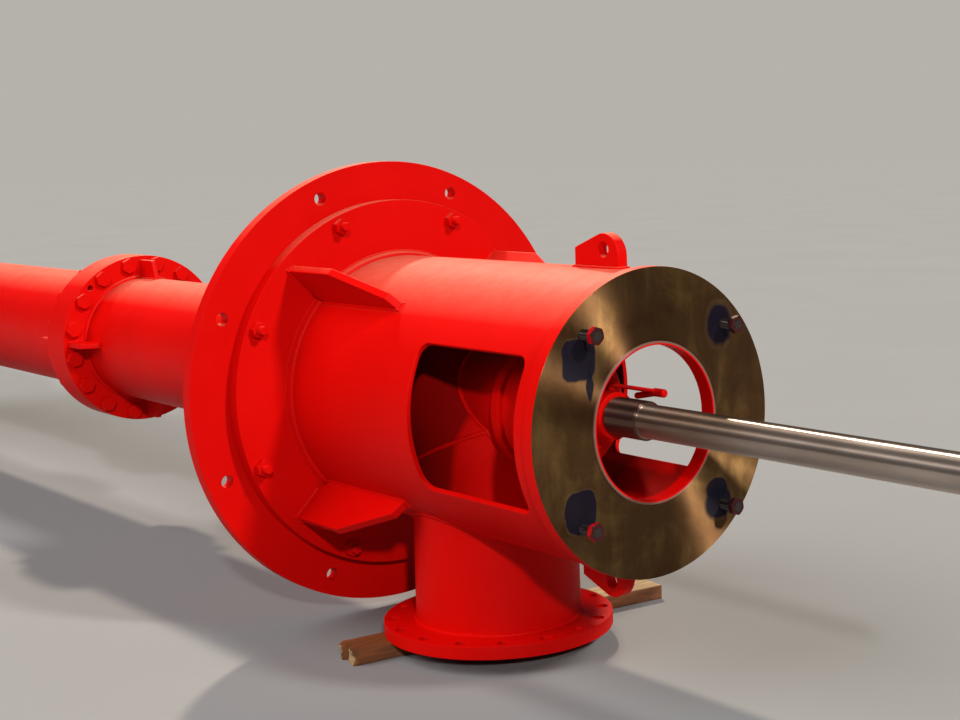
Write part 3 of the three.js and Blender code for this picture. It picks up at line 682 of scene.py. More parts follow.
def hexagon_nut(bm, width, height, place):
    """A six-sided nut or bolt head with both rims chamfered, standing on X = 0."""
    segments = 36
    flat_circle = width / 2
    rim = flat_circle * 0.97
    levels = []
    for i in range(segments):
        angle = 2 * math.pi * i / segments
        reach = flat_circle / math.cos((angle + math.pi / 6) % (math.pi / 3) - math.pi / 6)
        drop = max(0.0, reach - rim) * math.tan(math.radians(30))
        levels.append((angle, reach, drop))
    rings = [
        [(0, rim, a) for a, reach, drop in levels],
        [(drop, reach, a) for a, reach, drop in levels],
        [(height - drop, reach, a) for a, reach, drop in levels],
        [(height, rim, a) for a, reach, drop in levels],
    ]
    skin(bm, [ring_of(bm, place, ring) for ring in rings], capped=True)


def threaded_bar(bm, radius, length, pitch, place, segments=24, chamfer=0.002):
    """A bar along X with a thread on its side and a chamfer at its end."""
    per_turn = 5
    count = max(2, round(length / pitch * per_turn))
    depth = 0.55 * pitch
    rings = []
    for k in range(count + 1):
        x = length * k / count
        ring = []
        for i in range(segments):
            angle = 2 * math.pi * i / segments
            wave = abs(((x / pitch - i / segments) % 1) * 2 - 1)
            limit = radius - max(0.0, x - (length - chamfer))
            ring.append((x, min(radius - depth * wave, limit), angle))
        rings.append(ring_of(bm, place, ring))
    skin(bm, rings, capped=True)


def round_bar(bm, start, end, radius, edge):
    """A plain bar from one point to another, with rounded ends."""
    along = end - start
    profile = filleted([(0, 0), (0, radius, edge), (along.length, radius, edge), (along.length, 0)],
                       steps=6, closed=False)
    bar = turned(profile, 24)
    bar.transform(Matrix.Translation(start) @ along.to_track_quat("X", "Z").to_matrix().to_4x4())
    copy_into(bm, bar)


def copy_into(bm, other):
    mesh = bpy.data.meshes.new("part")
    other.to_mesh(mesh)
    other.free()
    bm.from_mesh(mesh)
    bpy.data.meshes.remove(mesh)


def around(angle, radius, x=0.0, turn=0.0):
    """A place at a distance from the axis, at an angle from +Y towards +Z, turned about its own X."""
    spot = Matrix.Rotation(angle, 4, "X") @ Matrix.Translation((x, radius, 0))
    return spot @ Matrix.Rotation(turn, 4, "X")


def spread(count):
    """Angles of evenly spaced bolts, the first of them half a space from +Y."""
    return [2 * math.pi * (i + 0.5) / count for i in range(count)]


def weld_bead(bm, path, outward, size, closed=False, seed=0.0):
    """A rippled weld bead along a path. The outward vectors point away from the corner it fills."""
    sides = 7
    pitch = 0.009
    unevenness = 0.16
    flatness = 0.72
    rings = []
    length = 0.0
    for i, point in enumerate(path):
        here = Vector(point)
        back = Vector(path[i - 1]) if i or closed else here
        ahead = Vector(path[(i + 1) % len(path)]) if i < len(path) - 1 or closed else here
        along = (ahead - back).normalized()
        out = Vector(outward[i])
        out = (out - along * out.dot(along)).normalized()
        across = along.cross(out)
        if i:
            length += (here - Vector(path[i - 1])).length
        lump = noise.noise(here * 30 + Vector((seed, 0, 0)))
        radius = size * (1.0 - unevenness * ((length / pitch) % 1) + unevenness * lump)
        ring = []
        for k in range(sides):
            angle = 2 * math.pi * k / sides
            offset = across * (math.cos(angle) * radius) + out * (math.sin(angle) * flatness * radius)
            ring.append(bm.verts.new(here + offset))
        rings.append(ring)
    skin(bm, rings, closed, capped=not closed)


def straight_bead(bm, turn, start, end, out, size, seed=0.0, step=BEAD_STEP):
    """A weld bead between two points, moved by the matrix turn. out points away from the corner it fills."""
    start, end = Vector(start), Vector(end)
    count = max(2, round((end - start).length / step))
    path = [turn @ start.lerp(end, i / count) for i in range(count + 1)]
    weld_bead(bm, path, [turn @ Vector(out)] * len(path), size, seed=seed)


def ring_bead(bm, x, radius, lean, size, seed=0.0):
    """A weld bead round the axis. lean is the outward direction along X."""
    path = [Vector((x, y, z)) for y, z in circle(radius, round(2 * math.pi * radius / BEAD_STEP))]
    outward = [Vector((lean, p.y / radius, p.z / radius)) for p in path]
    weld_bead(bm, path, outward, size, closed=True, seed=seed)


def piece(name, bm, materials, nodes=(), body=PUMP_BODY, smooth=35, choose=None,
          place=TO_MODEL):
    """Turns a bmesh into a finished piece that rides on a body and may replace CAD nodes.

    place moves it from its own frame into the model's, and choose picks each face's material by its middle.
    """
    bmesh.ops.recalc_face_normals(bm, faces=bm.faces)
    bm.transform(place)
    if choose:
        inverse = place.inverted()
        for face in bm.faces:
            face.material_index = choose(inverse @ face.calc_center_median())
    mesh = bpy.data.meshes.new(name)
    bm.to_mesh(mesh)
    bm.free()
    mesh.shade_smooth()
    mesh.set_sharp_from_angle(angle=math.radians(smooth))
    for material in materials if isinstance(materials, list) else [materials]:
        mesh.materials.append(material)
    made = bpy.data.objects.new(name, mesh)
    bpy.context.scene.collection.objects.link(made)
    normals = made.modifiers.new("normals", "WEIGHTED_NORMAL")
    normals.keep_sharp = True
    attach(made, body)
    if nodes:
        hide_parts(*nodes)
    return made


def painted(node, bm, material=PAINT):
    """A painted piece in place of one CAD node."""
    piece(node + "_painted", bm, material, [node])


def painted_welds(name, bm):
    """All weld beads of one section as a painted piece."""
    piece(name, bm, PAINT, smooth=WELD_SMOOTH)


def painted_turning(node, points, segments=PIPE_SEGMENTS, **options):
    """A painted body of revolution with rounded corners in place of one CAD node."""
    painted(node, turned(filleted(points, **options), segments))


def ring_section(start, end, inner, outer):
    return [(start, inner), (start, outer), (end, outer), (end, inner)]


# Head: base

def across_x(bm, x):
    """Moves a plate from the XY plane to the plane across X at x."""
    turn = Matrix(((0, 0, 1, 0), (1, 0, 0, 0), (0, 1, 0, 0), (0, 0, 0, 1)))
    bm.transform(Matrix.Translation((x, 0, 0)) @ turn)
    return bm


def hole_ring(radius, hole, count):
    return [circle(hole, HOLE_SEGMENTS, spot) for spot in circle(radius, count, start=math.pi / count)]


def add_base():
    pipe_hole = circle(PIPE_RADIUS, PIPE_SEGMENTS)
    holes = hole_ring(SOLE_HOLE_CIRCLE, SOLE_HOLE, BASE_HOLE_COUNT)
    sole = plate(circle(SOLE_RADIUS, LARGE_SEGMENTS), SOLE_THICKNESS, [*holes, pipe_hole])
    painted("sole_plate", across_x(sole, -SOLE_THICKNESS / 2))

    flange = plate(circle(BASE_RADIUS, LARGE_SEGMENTS), BASE_THICKNESS, [pipe_hole])
    piece("base_flange_painted", across_x(flange, BASE_THICKNESS / 2), PAINT, ["head_base_flange"])

    collar_end = BASE_THICKNESS + COLLAR_HEIGHT
    painted_turning("base_collar", [
        (BASE_THICKNESS, BARREL_RADIUS - OVERLAP),
        (BASE_THICKNESS, COLLAR_FOOT_RADIUS),
        (collar_end, COLLAR_RIM_RADIUS, 0.006),
        (collar_end + COLLAR_CROWN, BARREL_RADIUS - OVERLAP),
    ], LARGE_SEGMENTS, steps=5)

    nuts = bmesh.new()
    width, height, radius = BASE_NUT
    for angle in spread(BASE_HOLE_COUNT):
        place = around(angle, BASE_NUT_CIRCLE, BASE_THICKNESS, random.uniform(0, math.pi))
        hexagon_nut(nuts, width, height, place)
        threaded_bar(nuts, radius, height + BASE_STUD_EXCESS, BOLT_PITCH, place)
    piece("base_flange_nuts", nuts, PAINT)

    heads = bmesh.new()
    for angle in spread(BASE_HOLE_COUNT):
        place = around(angle, BASE_NUT_CIRCLE, -SOLE_THICKNESS, random.uniform(0, math.pi))
        hexagon_nut(heads, width, BASE_HEAD_HEIGHT, place @ Matrix.Rotation(math.pi, 4, "Z"))
    piece("base_flange_bolt_heads", heads, PAINT)


# Head: barrel

def unrolled(outline, angle):
    """Lays an outline that is seen square on at an angle into the rolled-out sheet, with arc length as Y."""
    return [(x, BARREL_RADIUS * (angle + math.asin(across / BARREL_RADIUS))) for x, across in outline]


def rolled(bm, radius, first_angle):
    """Bends a flat sheet, with arc length along Y, round the X axis."""
    width = 2 * math.pi * radius
    for i in range(1, ROLL_STEPS):
        y = radius * first_angle + width * i / ROLL_STEPS
        everything = bm.verts[:] + bm.edges[:] + bm.faces[:]
        bmesh.ops.bisect_plane(bm, geom=everything, plane_co=(0, y, 0), plane_no=(0, 1, 0), dist=1e-6)
    for vertex in bm.verts:
        x, y, z = vertex.co
        angle = y / radius
        vertex.co = (x, (radius + z) * math.cos(angle), (radius + z) * math.sin(angle))
    return bm


def add_barrel():
    start, end = BASE_THICKNESS, HEAD_LENGTH - MOTOR_FLANGE_THICKNESS
    seam = math.radians(BARREL_SEAM)
    first, last = BARREL_RADIUS * seam, BARREL_RADIUS * (seam + 2 * math.pi)
    low, high = -WINDOW_HALF_HEIGHT, WINDOW_HALF_HEIGHT
    corners = [(WINDOW_START, low), (WINDOW_END, low), (WINDOW_END, high), (WINDOW_START, high)]
    window = filleted(corners, WINDOW_CORNER, steps=10)
    outlet = circle(PIPE_RADIUS + OFF_SURFACE, 96, (DISCHARGE_X, 0))
    holes = [unrolled(window, 0.0), unrolled(window, math.pi), unrolled(outlet, 1.5 * math.pi)]
    outline = [(start, first), (end, first), (end, last), (start, last)]
    sheet = plate(outline, BARREL_WALL, holes, BARREL_EDGE, steps=3)
    bmesh.ops.translate(sheet, verts=sheet.verts, vec=(0, 0, -BARREL_WALL / 2))
    inner = BARREL_RADIUS - BARREL_WALL + 0.0005
    piece("head_barrel_painted", rolled(sheet, BARREL_RADIUS, seam), [PAINT, INNER_SHADED_PAINT], ["head_barrel"],
          smooth=40, choose=lambda point: int(math.hypot(point.y, point.z) < inner))

    welds = bmesh.new()
    ring_bead(welds, start + 0.0005, COLLAR_FOOT_RADIUS, 1.0, COLLAR_WELD, seed=3)
    ring_bead(welds, end, BARREL_RADIUS + OFF_SURFACE, -1.0, BARREL_WELD, seed=5)
    turn = Matrix.Rotation(seam, 4, "X")
    bead_start, bead_end = start + BARREL_SEAM_MARGINS[0], end - BARREL_SEAM_MARGINS[1]
    for y, side in ((BARREL_RADIUS, 1), (BARREL_RADIUS - BARREL_WALL, -1)):
        straight_bead(welds, turn, (bead_start, y, 0), (bead_end, y, 0), (0, side, 0), BARREL_WELD, seed=9)
    painted_welds("barrel_welds", welds)


def add_motor_flange():
    top = HEAD_LENGTH
    back = top - MOTOR_FLANGE_THICKNESS
    profile = filleted([
        (back, MOTOR_FLANGE_BORE, 0.001),
        (back, MOTOR_FLANGE_RADIUS, 0.0025),
        (top, MOTOR_FLANGE_RADIUS, 0.0012),
        (top, REGISTER_RADIUS, 0),
        (top + REGISTER_HEIGHT, REGISTER_RADIUS, 0.0007),
        (top + REGISTER_HEIGHT, REGISTER_PAINTED, 0),
        (top + REGISTER_HEIGHT, MOTOR_FLANGE_BORE, 0.0009),
    ])

    def choose(point):
        radius = math.hypot(point.y, point.z)
        if point.x > top + 0.001 and radius > REGISTER_PAINTED:
            return 2
        return int(point.x > top - 0.0006 and radius > REGISTER_RADIUS)

    flange = turned(profile, FACE_SEGMENTS)
    piece("motor_flange_faced", flange, [PAINT, FACE, BRONZED], ["motor_flange"],
          choose=choose)


def add_motor_studs():
    width, height = MOTOR_NUT
    for name, degrees in QUARTERS.items():
        place = around(math.radians(degrees + STUD_TURN), STUD_CIRCLE, HEAD_LENGTH)
        node = "motor_stud_" + name
        stud = bmesh.new()
        threaded_bar(stud, STUD_RADIUS, STUD_LENGTH, STUD_PITCH, place, 32)
        piece(node + "_threaded", stud, STUD_STEEL, [node])
        nut = bmesh.new()
        hexagon_nut(nut, width, height, place @ Matrix.Translation((STUD_LENGTH - STUD_TIP - height, 0, 0)))
        piece("motor_nut_" + name, nut, NUT_PAINT)


# Head: gussets and lugs

def standing(bm, turn):
    """Stands a plate up in the XZ plane, with its outline's Y as height, and turns it round the axis."""
    bm.transform(turn @ Matrix.Rotation(math.pi / 2, 4, "X"))
    return bm


def add_gussets():
    start = BASE_THICKNESS
    notch_radius = BARREL_RADIUS + GUSSET_NOTCH
    outline = filleted([
        (start, notch_radius, 0.002),
        (start + GUSSET_NOTCH, BARREL_RADIUS - OVERLAP, 0.002),
        (GUSSET_END, BARREL_RADIUS - OVERLAP, 0.001),
        (GUSSET_SLOPE_END, GUSSET_SLOPE_END_RADIUS, 0.003),
        (GUSSET_STRAIGHT_END, GUSSET_OUTER, 0.010),
        (start, GUSSET_OUTER, 0.002),
    ])
    low_start, low_end = start + GUSSET_NOTCH - BEAD_OVERRUN, GUSSET_END + BEAD_OVERRUN
    high_start, high_end = notch_radius - BEAD_OVERRUN, GUSSET_OUTER + BEAD_OVERRUN
    welds = bmesh.new()
    for name, degrees in QUARTERS.items():
        turn = Matrix.Rotation(math.radians(degrees - 90), 4, "X")
        painted("gusset_" + name, standing(plate(outline, GUSSET_THICKNESS, edge=GUSSET_EDGE), turn))
        for side in (-1, 1):
            y = side * GUSSET_THICKNESS / 2
            foot = math.sqrt(BARREL_RADIUS ** 2 - y ** 2)
            for first, last, out in (((low_start, y, foot), (low_end, y, foot), (0, side, 1)),
                                     ((start, y, high_start), (start, y, high_end), (1, side, 0))):
                straight_bead(welds, turn, first, last, out, GUSSET_WELD, degrees + side)
        y = GUSSET_END_BEAD
        for x, z in ((GUSSET_END, BARREL_RADIUS), (start, GUSSET_OUTER)):
            straight_bead(welds, turn, (x, -y, z), (x, y, z), (1, 0, 1), GUSSET_END_WELD, degrees)
    painted_welds("gusset_welds", welds)


def add_lugs():
    end = LUG_HOLE_X + LUG_ARC
    outline = filleted([
        (LUG_START, BARREL_RADIUS - OVERLAP),
        (end, BARREL_RADIUS - OVERLAP),
        *arc((LUG_HOLE_X, LUG_ARC_HEIGHT), LUG_ARC, 0, LUG_ARC_END, 28),
        (LUG_START, LUG_SHOULDER, 0.004),
    ], radius=0)
    hole = circle(LUG_HOLE, 40, (LUG_HOLE_X, LUG_HOLE_HEIGHT))
    side = LUG_THICKNESS / 2
    welds = bmesh.new()
    for name, angle in (("top", 0.0), ("bottom", math.pi)):
        turn = Matrix.Rotation(angle, 4, "X")
        lug = plate(outline, LUG_THICKNESS, [hole], LUG_EDGE, steps=3)
        painted("lifting_lug_" + name, standing(lug, turn))
        foot = math.sqrt(BARREL_RADIUS ** 2 - side ** 2)
        for y in (-side, side):
            straight_bead(welds, turn, (LUG_START - BEAD_OVERRUN, y, foot), (end + BEAD_OVERRUN, y, foot),
                          (0, y / side, 1), LUG_WELD)
        z = BARREL_RADIUS
        for x, out in ((LUG_START, -1), (end, 1)):
            straight_bead(welds, turn, (x, -side, z), (x, side, z), (out, 0, 1), LUG_WELD)
    painted_welds("lug_welds", welds)


# Discharge elbow

def seam_plane(degrees):
    """Normal of a mitre plane through the throat. It points towards the outlet."""
    angle = math.radians(degrees)
    return Vector((math.sin(angle), 0, -math.cos(angle)))


def mitred_pipe(foot, direction, first, last):
    """A pipe between two planes, each a point and a normal. Returns it and its outer edge on the last."""
    bm = bmesh.new()
    side = Vector((0, 1, 0))
    up = direction.cross(side)
    rings = []
    for radius, plane in ((PIPE_RADIUS, first), (PIPE_RADIUS, last), (PIPE_BORE, last), (PIPE_BORE, first)):
        point, normal = plane
        ring = []
        for a, b in circle(radius, PIPE_SEGMENTS):
            start = foot + side * a + up * b
            ring.append(start + direction * ((point - start).dot(normal) / direction.dot(normal)))
        rings.append(ring)
    skin(bm, [[bm.verts.new(spot) for spot in ring] for ring in rings], closed=True)
    return bm, rings[1]


def dense(path):
    """A closed path with points spaced evenly along it."""
    points = []
    for here, ahead in zip(path, path[1:] + path[:1]):
        count = max(1, round((ahead - here).length / BEAD_STEP))
        points += [here.lerp(ahead, k / count) for k in range(count)]
    return points


def add_elbow():
    along, down = Vector((1, 0, 0)), Vector((0, 0, -1))
    sole_back = (Vector((-SOLE_THICKNESS, 0, 0)), along)
    upper = (THROAT, seam_plane(UPPER_SEAM))
    lower = (THROAT, seam_plane(LOWER_SEAM))
    flange_back = (Vector((0, 0, DISCHARGE_FLANGE_THICKNESS - DISCHARGE_DROP)), down)
    pipe_foot = Vector((DISCHARGE_X, 0, 0))
    seams = []
    for name, foot, direction, first, last in (
            ("elbow_inlet", Vector((0, 0, 0)), along, sole_back, upper),
            ("elbow_heel", HEEL_FOOT, (along + down).normalized(), upper, lower),
            ("discharge_pipe", pipe_foot, down, lower, flange_back)):
        pipe, seam = mitred_pipe(foot, direction, first, last)
        painted(name, pipe, ELBOW_SHADED_PAINT)
        seams.append(dense(seam))

    holes = hole_ring(DISCHARGE_BOLT_CIRCLE, DISCHARGE_BOLT_HOLE, DISCHARGE_BOLT_COUNT)
    holes.append(circle(PIPE_BORE, PIPE_SEGMENTS))
    flange = plate(circle(DISCHARGE_FLANGE_RADIUS, LARGE_SEGMENTS), DISCHARGE_FLANGE_THICKNESS, holes)
    flange_middle = DISCHARGE_FLANGE_THICKNESS / 2 - DISCHARGE_DROP
    flange.transform(Matrix.Translation((DISCHARGE_X, 0, flange_middle)))
    painted("discharge_flange", flange)

    welds = bmesh.new()
    upper_seam, lower_seam, flange_seam = seams
    for seam, centre in ((upper_seam, HEEL_FOOT), (lower_seam, pipe_foot + down * LOWER_SEAM_DROP)):
        weld_bead(welds, seam, [p - centre for p in seam], MITRE_WELD, closed=True)
    outward = [p - Vector((DISCHARGE_X, 0, p.z - FLANGE_BEAD_RISE)) for p in flange_seam]
    weld_bead(welds, flange_seam, outward, FLANGE_WELD, closed=True, seed=7)
    saddle = []
    for x, y in circle(PIPE_RADIUS + OFF_SURFACE, 480):
        saddle.append(Vector((DISCHARGE_X + x, y, -math.sqrt(BARREL_RADIUS ** 2 - y ** 2))))
    weld_bead(welds, saddle, [p - pipe_foot for p in saddle], SADDLE_WELD, closed=True, seed=11)
    painted_welds("discharge_welds", welds)


# Bearing neck, stuffing box and gland

def add_stuffing_box():
    painted_turning("bearing_neck", ring_section(NECK_START, NECK_END, NECK_BORE, NECK_RADIUS))
    painted_turning("housing_flange", ring_section(NECK_END, HOUSING_END, BOX_BORE, HOUSING_RADIUS))
    painted_turning("stuffing_box", [
        (HOUSING_END, BOX_BORE),
        (HOUSING_END, BOX_RADIUS, 0.003),
        (BOX_SHOULDER, BOX_RADIUS, 0.010),
        (BOX_SHOULDER + BOX_SLOPE, BOX_NECK_RADIUS, 0.008),
        (BOX_END, BOX_NECK_RADIUS, 0.003),
        (BOX_END, BOX_BORE),
    ])
    gland_start = BOX_END + OFF_SURFACE
    painted_turning("gland", [
        (gland_start, GLAND_BORE),
        (gland_start, GLAND_RADIUS),
        (GLAND_FLANGE_END, GLAND_RADIUS),
        (GLAND_FLANGE_END, GLAND_SLEEVE, 0.004),
        (GLAND_END, GLAND_SLEEVE, 0.002),
        (GLAND_END, GLAND_BORE),
    ], SHAFT_SEGMENTS)

    fasteners = bmesh.new()
    for degrees, length in GLAND_STUDS:
        place = around(math.radians(degrees), GLAND_STUD_CIRCLE, GLAND_FLANGE_END)
        hexagon_nut(fasteners, *GLAND_NUT, place)
        threaded_bar(fasteners, GLAND_STUD_RADIUS, length, GLAND_STUD_PITCH, place, 20)
    first, last = [around(math.radians(degrees), GLAND_STUD_CIRCLE).translation for degrees in PRONG_ANGLES]
    along = Vector((1, 0, 0))
    knob_start, knob_end, knob_radius = KNOB
    round_bar(fasteners, last + along * knob_start, last + along * knob_end, knob_radius, 0.007)
    prong_end = last + along * (knob_start + PRONG_IN_KNOB)
    round_bar(fasteners, first + along * PRONG_START, prong_end, PRONG_RADIUS, 0.004)
    for angle in spread(SCREW_COUNT):
        hexagon_nut(fasteners, *SCREW_HEAD, around(angle, SCREW_CIRCLE, BOX_SHOULDER))
    piece("stuffing_box_fasteners", fasteners, PAINT)

    welds = bmesh.new()
    ring_bead(welds, NECK_END, NECK_RADIUS + OFF_SURFACE, -1.0, HOUSING_WELD)
    path = [Vector((neck_foot(y, z), y, z)) for y, z in circle(NECK_RADIUS + OFF_SURFACE, 300)]
    outward = [Vector((1, p.y / NECK_RADIUS, p.z / NECK_RADIUS)) for p in path]
    weld_bead(welds, path, outward, NECK_WELD, closed=True, seed=2)
    painted_welds("neck_welds", welds)


def neck_foot(y, z):
    """Where a line along X, at z above the axis and y beside it, meets the outside of the elbow."""
    reach = math.sqrt(PIPE_RADIUS ** 2 - y ** 2)
    upright = DISCHARGE_X + reach
    slanted = HEEL_FOOT.x + HEEL_FOOT.z - z + reach * math.sqrt(2)
    return min(upright, slanted)


# Shaft

def add_shaft():
    profile = filleted([
        (SHAFT_FOOT, 0),
        (SHAFT_FOOT, SHAFT_RADIUS),
        (SHAFT_SLEEVE_START, SHAFT_RADIUS, 0),
        (SHAFT_SLEEVE_START, SHAFT_SLEEVE_RADIUS, 0.002),
        (HEAD_SHAFT_START, SHAFT_SLEEVE_RADIUS, 0.0015),
        (HEAD_SHAFT_START, SHAFT_RING[1], 0),
        (HEAD_SHAFT_START + SHAFT_RING[0], SHAFT_RING[1], 0.0006),
        (HEAD_SHAFT_START + SHAFT_RING[0], HEAD_SHAFT_RADIUS, 0.0004),
        (THREAD_START - 0.002, HEAD_SHAFT_RADIUS),
        (THREAD_START, THREAD_CORE),
        (THREAD_START + THREAD_OVERLAP, THREAD_CORE),
        (THREAD_START + THREAD_OVERLAP, 0),
    ], closed=False)
    shaft = turned(profile, SHAFT_SEGMENTS)
    made = piece("pump_shaft_polished", shaft, [SHAFT_STEEL, DARK_STEEL], ["pump_shaft"], SHAFT_BODY,
                 choose=lambda point: int(point.x < HEAD_SHAFT_START + 0.0003))
    cutter = bmesh.new()
    bmesh.ops.create_cube(cutter, size=1.0)
    size = Matrix.Diagonal((KEYWAY_END - KEYWAY_START, KEYWAY_WIDTH, 2 * KEYWAY_DEPTH, 1))
    middle = Matrix.Translation(((KEYWAY_START + KEYWAY_END) / 2, 0, HEAD_SHAFT_RADIUS))
    cutter.transform(TO_MODEL @ middle @ size)
    mesh = bpy.data.meshes.new("keyway")
    cutter.to_mesh(mesh)
    cutter.free()
    tool = bpy.data.objects.new("keyway", mesh)
    bpy.context.scene.collection.objects.link(tool)
    boolean = made.modifiers.new("keyway", "BOOLEAN")
    boolean.object = tool
    boolean.solver = "EXACT"
    made.modifiers.move(1, 0)
    bpy.context.view_layer.objects.active = made
    bpy.ops.object.modifier_apply(modifier="keyway")
    bpy.data.objects.remove(tool)

    thread = bmesh.new()
    start = THREAD_START + THREAD_OVERLAP - OVERLAP
    place = Matrix.Translation((start, 0, 0))
    threaded_bar(thread, THREAD_RADIUS, SHAFT_END - start, THREAD_PITCH, place, 64, chamfer=0.004)
    piece("shaft_thread", thread, SHAFT_STEEL, (), SHAFT_BODY)


# Column

def column_flange(start, side, holes):
    """A ring that is crisp where it meets its neighbour. side is the direction along X of its open face."""
    rim = circle(COLUMN_FLANGE_RADIUS, LARGE_SEGMENTS)
    bore = circle(PIPE_BORE, PIPE_SEGMENTS)
    ring = plate(rim, COLUMN_FLANGE_THICKNESS, [bore, *holes], COLUMN_FLANGE_EDGE, back=SEAM_EDGE)
    if side < 0:
        ring.transform(Matrix.Rotation(math.pi, 4, "Y"))
    return across_x(ring, start + COLUMN_FLANGE_THICKNESS / 2)


def stiffeners(bm, welds, face, side):
    """Adds the stiffeners between a flange's open face and its pipe, and their beads."""
    rim = COLUMN_FLANGE_RADIUS - STIFFENER_EDGE
    tip = face + side * STIFFENER_LENGTH
    outline = filleted([
        (face - side * OVERLAP, PIPE_RADIUS - OVERLAP),
        (tip, PIPE_RADIUS - OVERLAP, 0.003),
        (face + side * STIFFENER_TOP_LENGTH, rim, 0.006),
        (face - side * OVERLAP, rim),
    ], radius=0)
    for degrees in STIFFENER_ANGLES:
        turn = Matrix.Rotation(math.radians(degrees), 4, "X")
        copy_into(bm, standing(plate(outline, STIFFENER_THICKNESS), turn))
        for across in (-1, 1):
            y = across * STIFFENER_THICKNESS / 2
            start = (face, y, PIPE_RADIUS)
            for end, out in (((tip, y, PIPE_RADIUS), (0, across, 1)), ((face, y, rim), (side, across, 0))):
                straight_bead(welds, turn, start, end, out, STIFFENER_WELD, degrees, STIFFENER_BEAD_STEP)


def bolts_round(bm, circle_radius, count, near_face, far_face, nut):
    """Bolts through a flange pair: heads on the near face and nuts with thread ends on the far face."""
    width, height, radius = nut
    for angle in spread(count):
        head = around(angle, circle_radius, near_face, random.uniform(0, math.pi))
        hexagon_nut(bm, width, HEAD_TO_NUT * height, head)
        tail = around(angle, circle_radius, far_face, random.uniform(0, math.pi))
        tail = tail @ Matrix.Rotation(math.pi, 4, "Z")
        hexagon_nut(bm, width, height, tail)
        threaded_bar(bm, radius, height + BOLT_EXCESS, BOLT_PITCH, tail, 16)


def add_column():
    for name, start, end in (("upper", COLUMN_FACE, -SOLE_THICKNESS),
                             ("lower", LOWER_COLUMN_FOOT, LOWER_COLUMN_TOP)):
        painted(name + "_column_pipe", turned(ring_section(start, end, PIPE_BORE, PIPE_RADIUS)))
    turn = math.radians(DOWEL_HOLE_ANGLE)
    dowel = circle(DOWEL_HOLE, 24, (DOWEL_HOLE_CIRCLE * math.cos(turn), DOWEL_HOLE_CIRCLE * math.sin(turn)))
    joint_end = COLUMN_FACE - COLUMN_JOINT_LENGTH
    welds = bmesh.new()
    for name, start, side, holes in (
            ("upper", COLUMN_FACE - COLUMN_FLANGE_THICKNESS, 1, [dowel]),
            ("middle", joint_end, -1, []),
            ("lower", LOWER_COLUMN_FOOT - COLUMN_FLANGE_THICKNESS, 1, [])):
        flange = column_flange(start, side, holes)
        face = start + COLUMN_FLANGE_THICKNESS if side > 0 else start
        stiffeners(flange, welds, face, side)
        painted(name + "_column_flange", flange)
        ring_bead(welds, face, PIPE_RADIUS + OFF_SURFACE, side, COLUMN_WELD, start)
    ring_bead(welds, -SOLE_THICKNESS, PIPE_RADIUS + OFF_SURFACE, -1.0, FLANGE_WELD, seed=4)
    painted_welds("column_welds", welds)

    spacer_start, spacer_end = [corner.x - SOLE_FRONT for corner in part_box("column_spacer_ring")]
    rim, bore = circle(COLUMN_FLANGE_RADIUS, LARGE_SEGMENTS), circle(PIPE_BORE, PIPE_SEGMENTS)
    spacer = plate(rim, spacer_end - spacer_start, [bore], edge=SEAM_EDGE)
    painted("column_spacer_ring", across_x(spacer, (spacer_start + spacer_end) / 2))

    bolts = bmesh.new()
    bowl_flange_back = DISCHARGE_BOWL[1] - COLUMN_FLANGE_THICKNESS
    for near_face, far_face in ((COLUMN_FACE, joint_end), (LOWER_COLUMN_FOOT, bowl_flange_back)):
        bolts_round(bolts, COLUMN_BOLT_CIRCLE, COLUMN_BOLT_COUNT, near_face, far_face, COLUMN_NUT)
    piece("column_bolts", bolts, PAINT)


# Bowls and bell

def bowl_outline(bottom, length):
    return [
        (bottom, 0.0),
        (bottom, BOWL_FLANGE_RADIUS, 0.003),
        (bottom + BOWL_FLANGE_THICKNESS, BOWL_FLANGE_RADIUS, 0.003),
        (bottom + BOWL_FLANGE_THICKNESS, BOWL_ROOT_RADIUS, 0.014),
        (bottom + BOWL_BULGE_START * length, BOWL_BULGE_RADIUS, 0.12),
        (bottom + BOWL_BULGE_END * length, BOWL_BULGE_RADIUS, 0.10),
    ]


def add_bowls():
    bottom, top = DISCHARGE_BOWL
    length = top - bottom
    painted_turning("discharge_bowl", [
        *bowl_outline(bottom, length),
        (bottom + BOWL_WAIST_START * length, BOWL_WAIST_RADIUS, 0.10),
        (top - COLUMN_FLANGE_THICKNESS, BOWL_TOP_RADIUS, 0.010),
        (top - COLUMN_FLANGE_THICKNESS, COLUMN_FLANGE_RADIUS, 0.003),
        (top, COLUMN_FLANGE_RADIUS, 0.003),
        (top, 0.0),
    ], steps=8, closed=False)
    bottom, top = PUMP_BOWL
    painted_turning("pump_bowl", [
        *bowl_outline(bottom, top - bottom),
        (top - BOWL_FLANGE_THICKNESS, BOWL_ROOT_RADIUS, 0.014),
        (top - BOWL_FLANGE_THICKNESS, BOWL_FLANGE_RADIUS, 0.003),
        (top, BOWL_FLANGE_RADIUS, 0.003),
        (top, 0.0),
    ], steps=8, closed=False)
    bolts = bmesh.new()
    for upper, lower in ((DISCHARGE_BOWL, PUMP_BOWL), (PUMP_BOWL, BELL)):
        near_face, far_face = upper[0] + BOWL_FLANGE_THICKNESS, lower[1] - BOWL_FLANGE_THICKNESS
        bolts_round(bolts, BOWL_BOLT_CIRCLE, BOWL_BOLT_COUNT, near_face, far_face, BOWL_NUT)
    piece("bowl_bolts", bolts, PAINT)


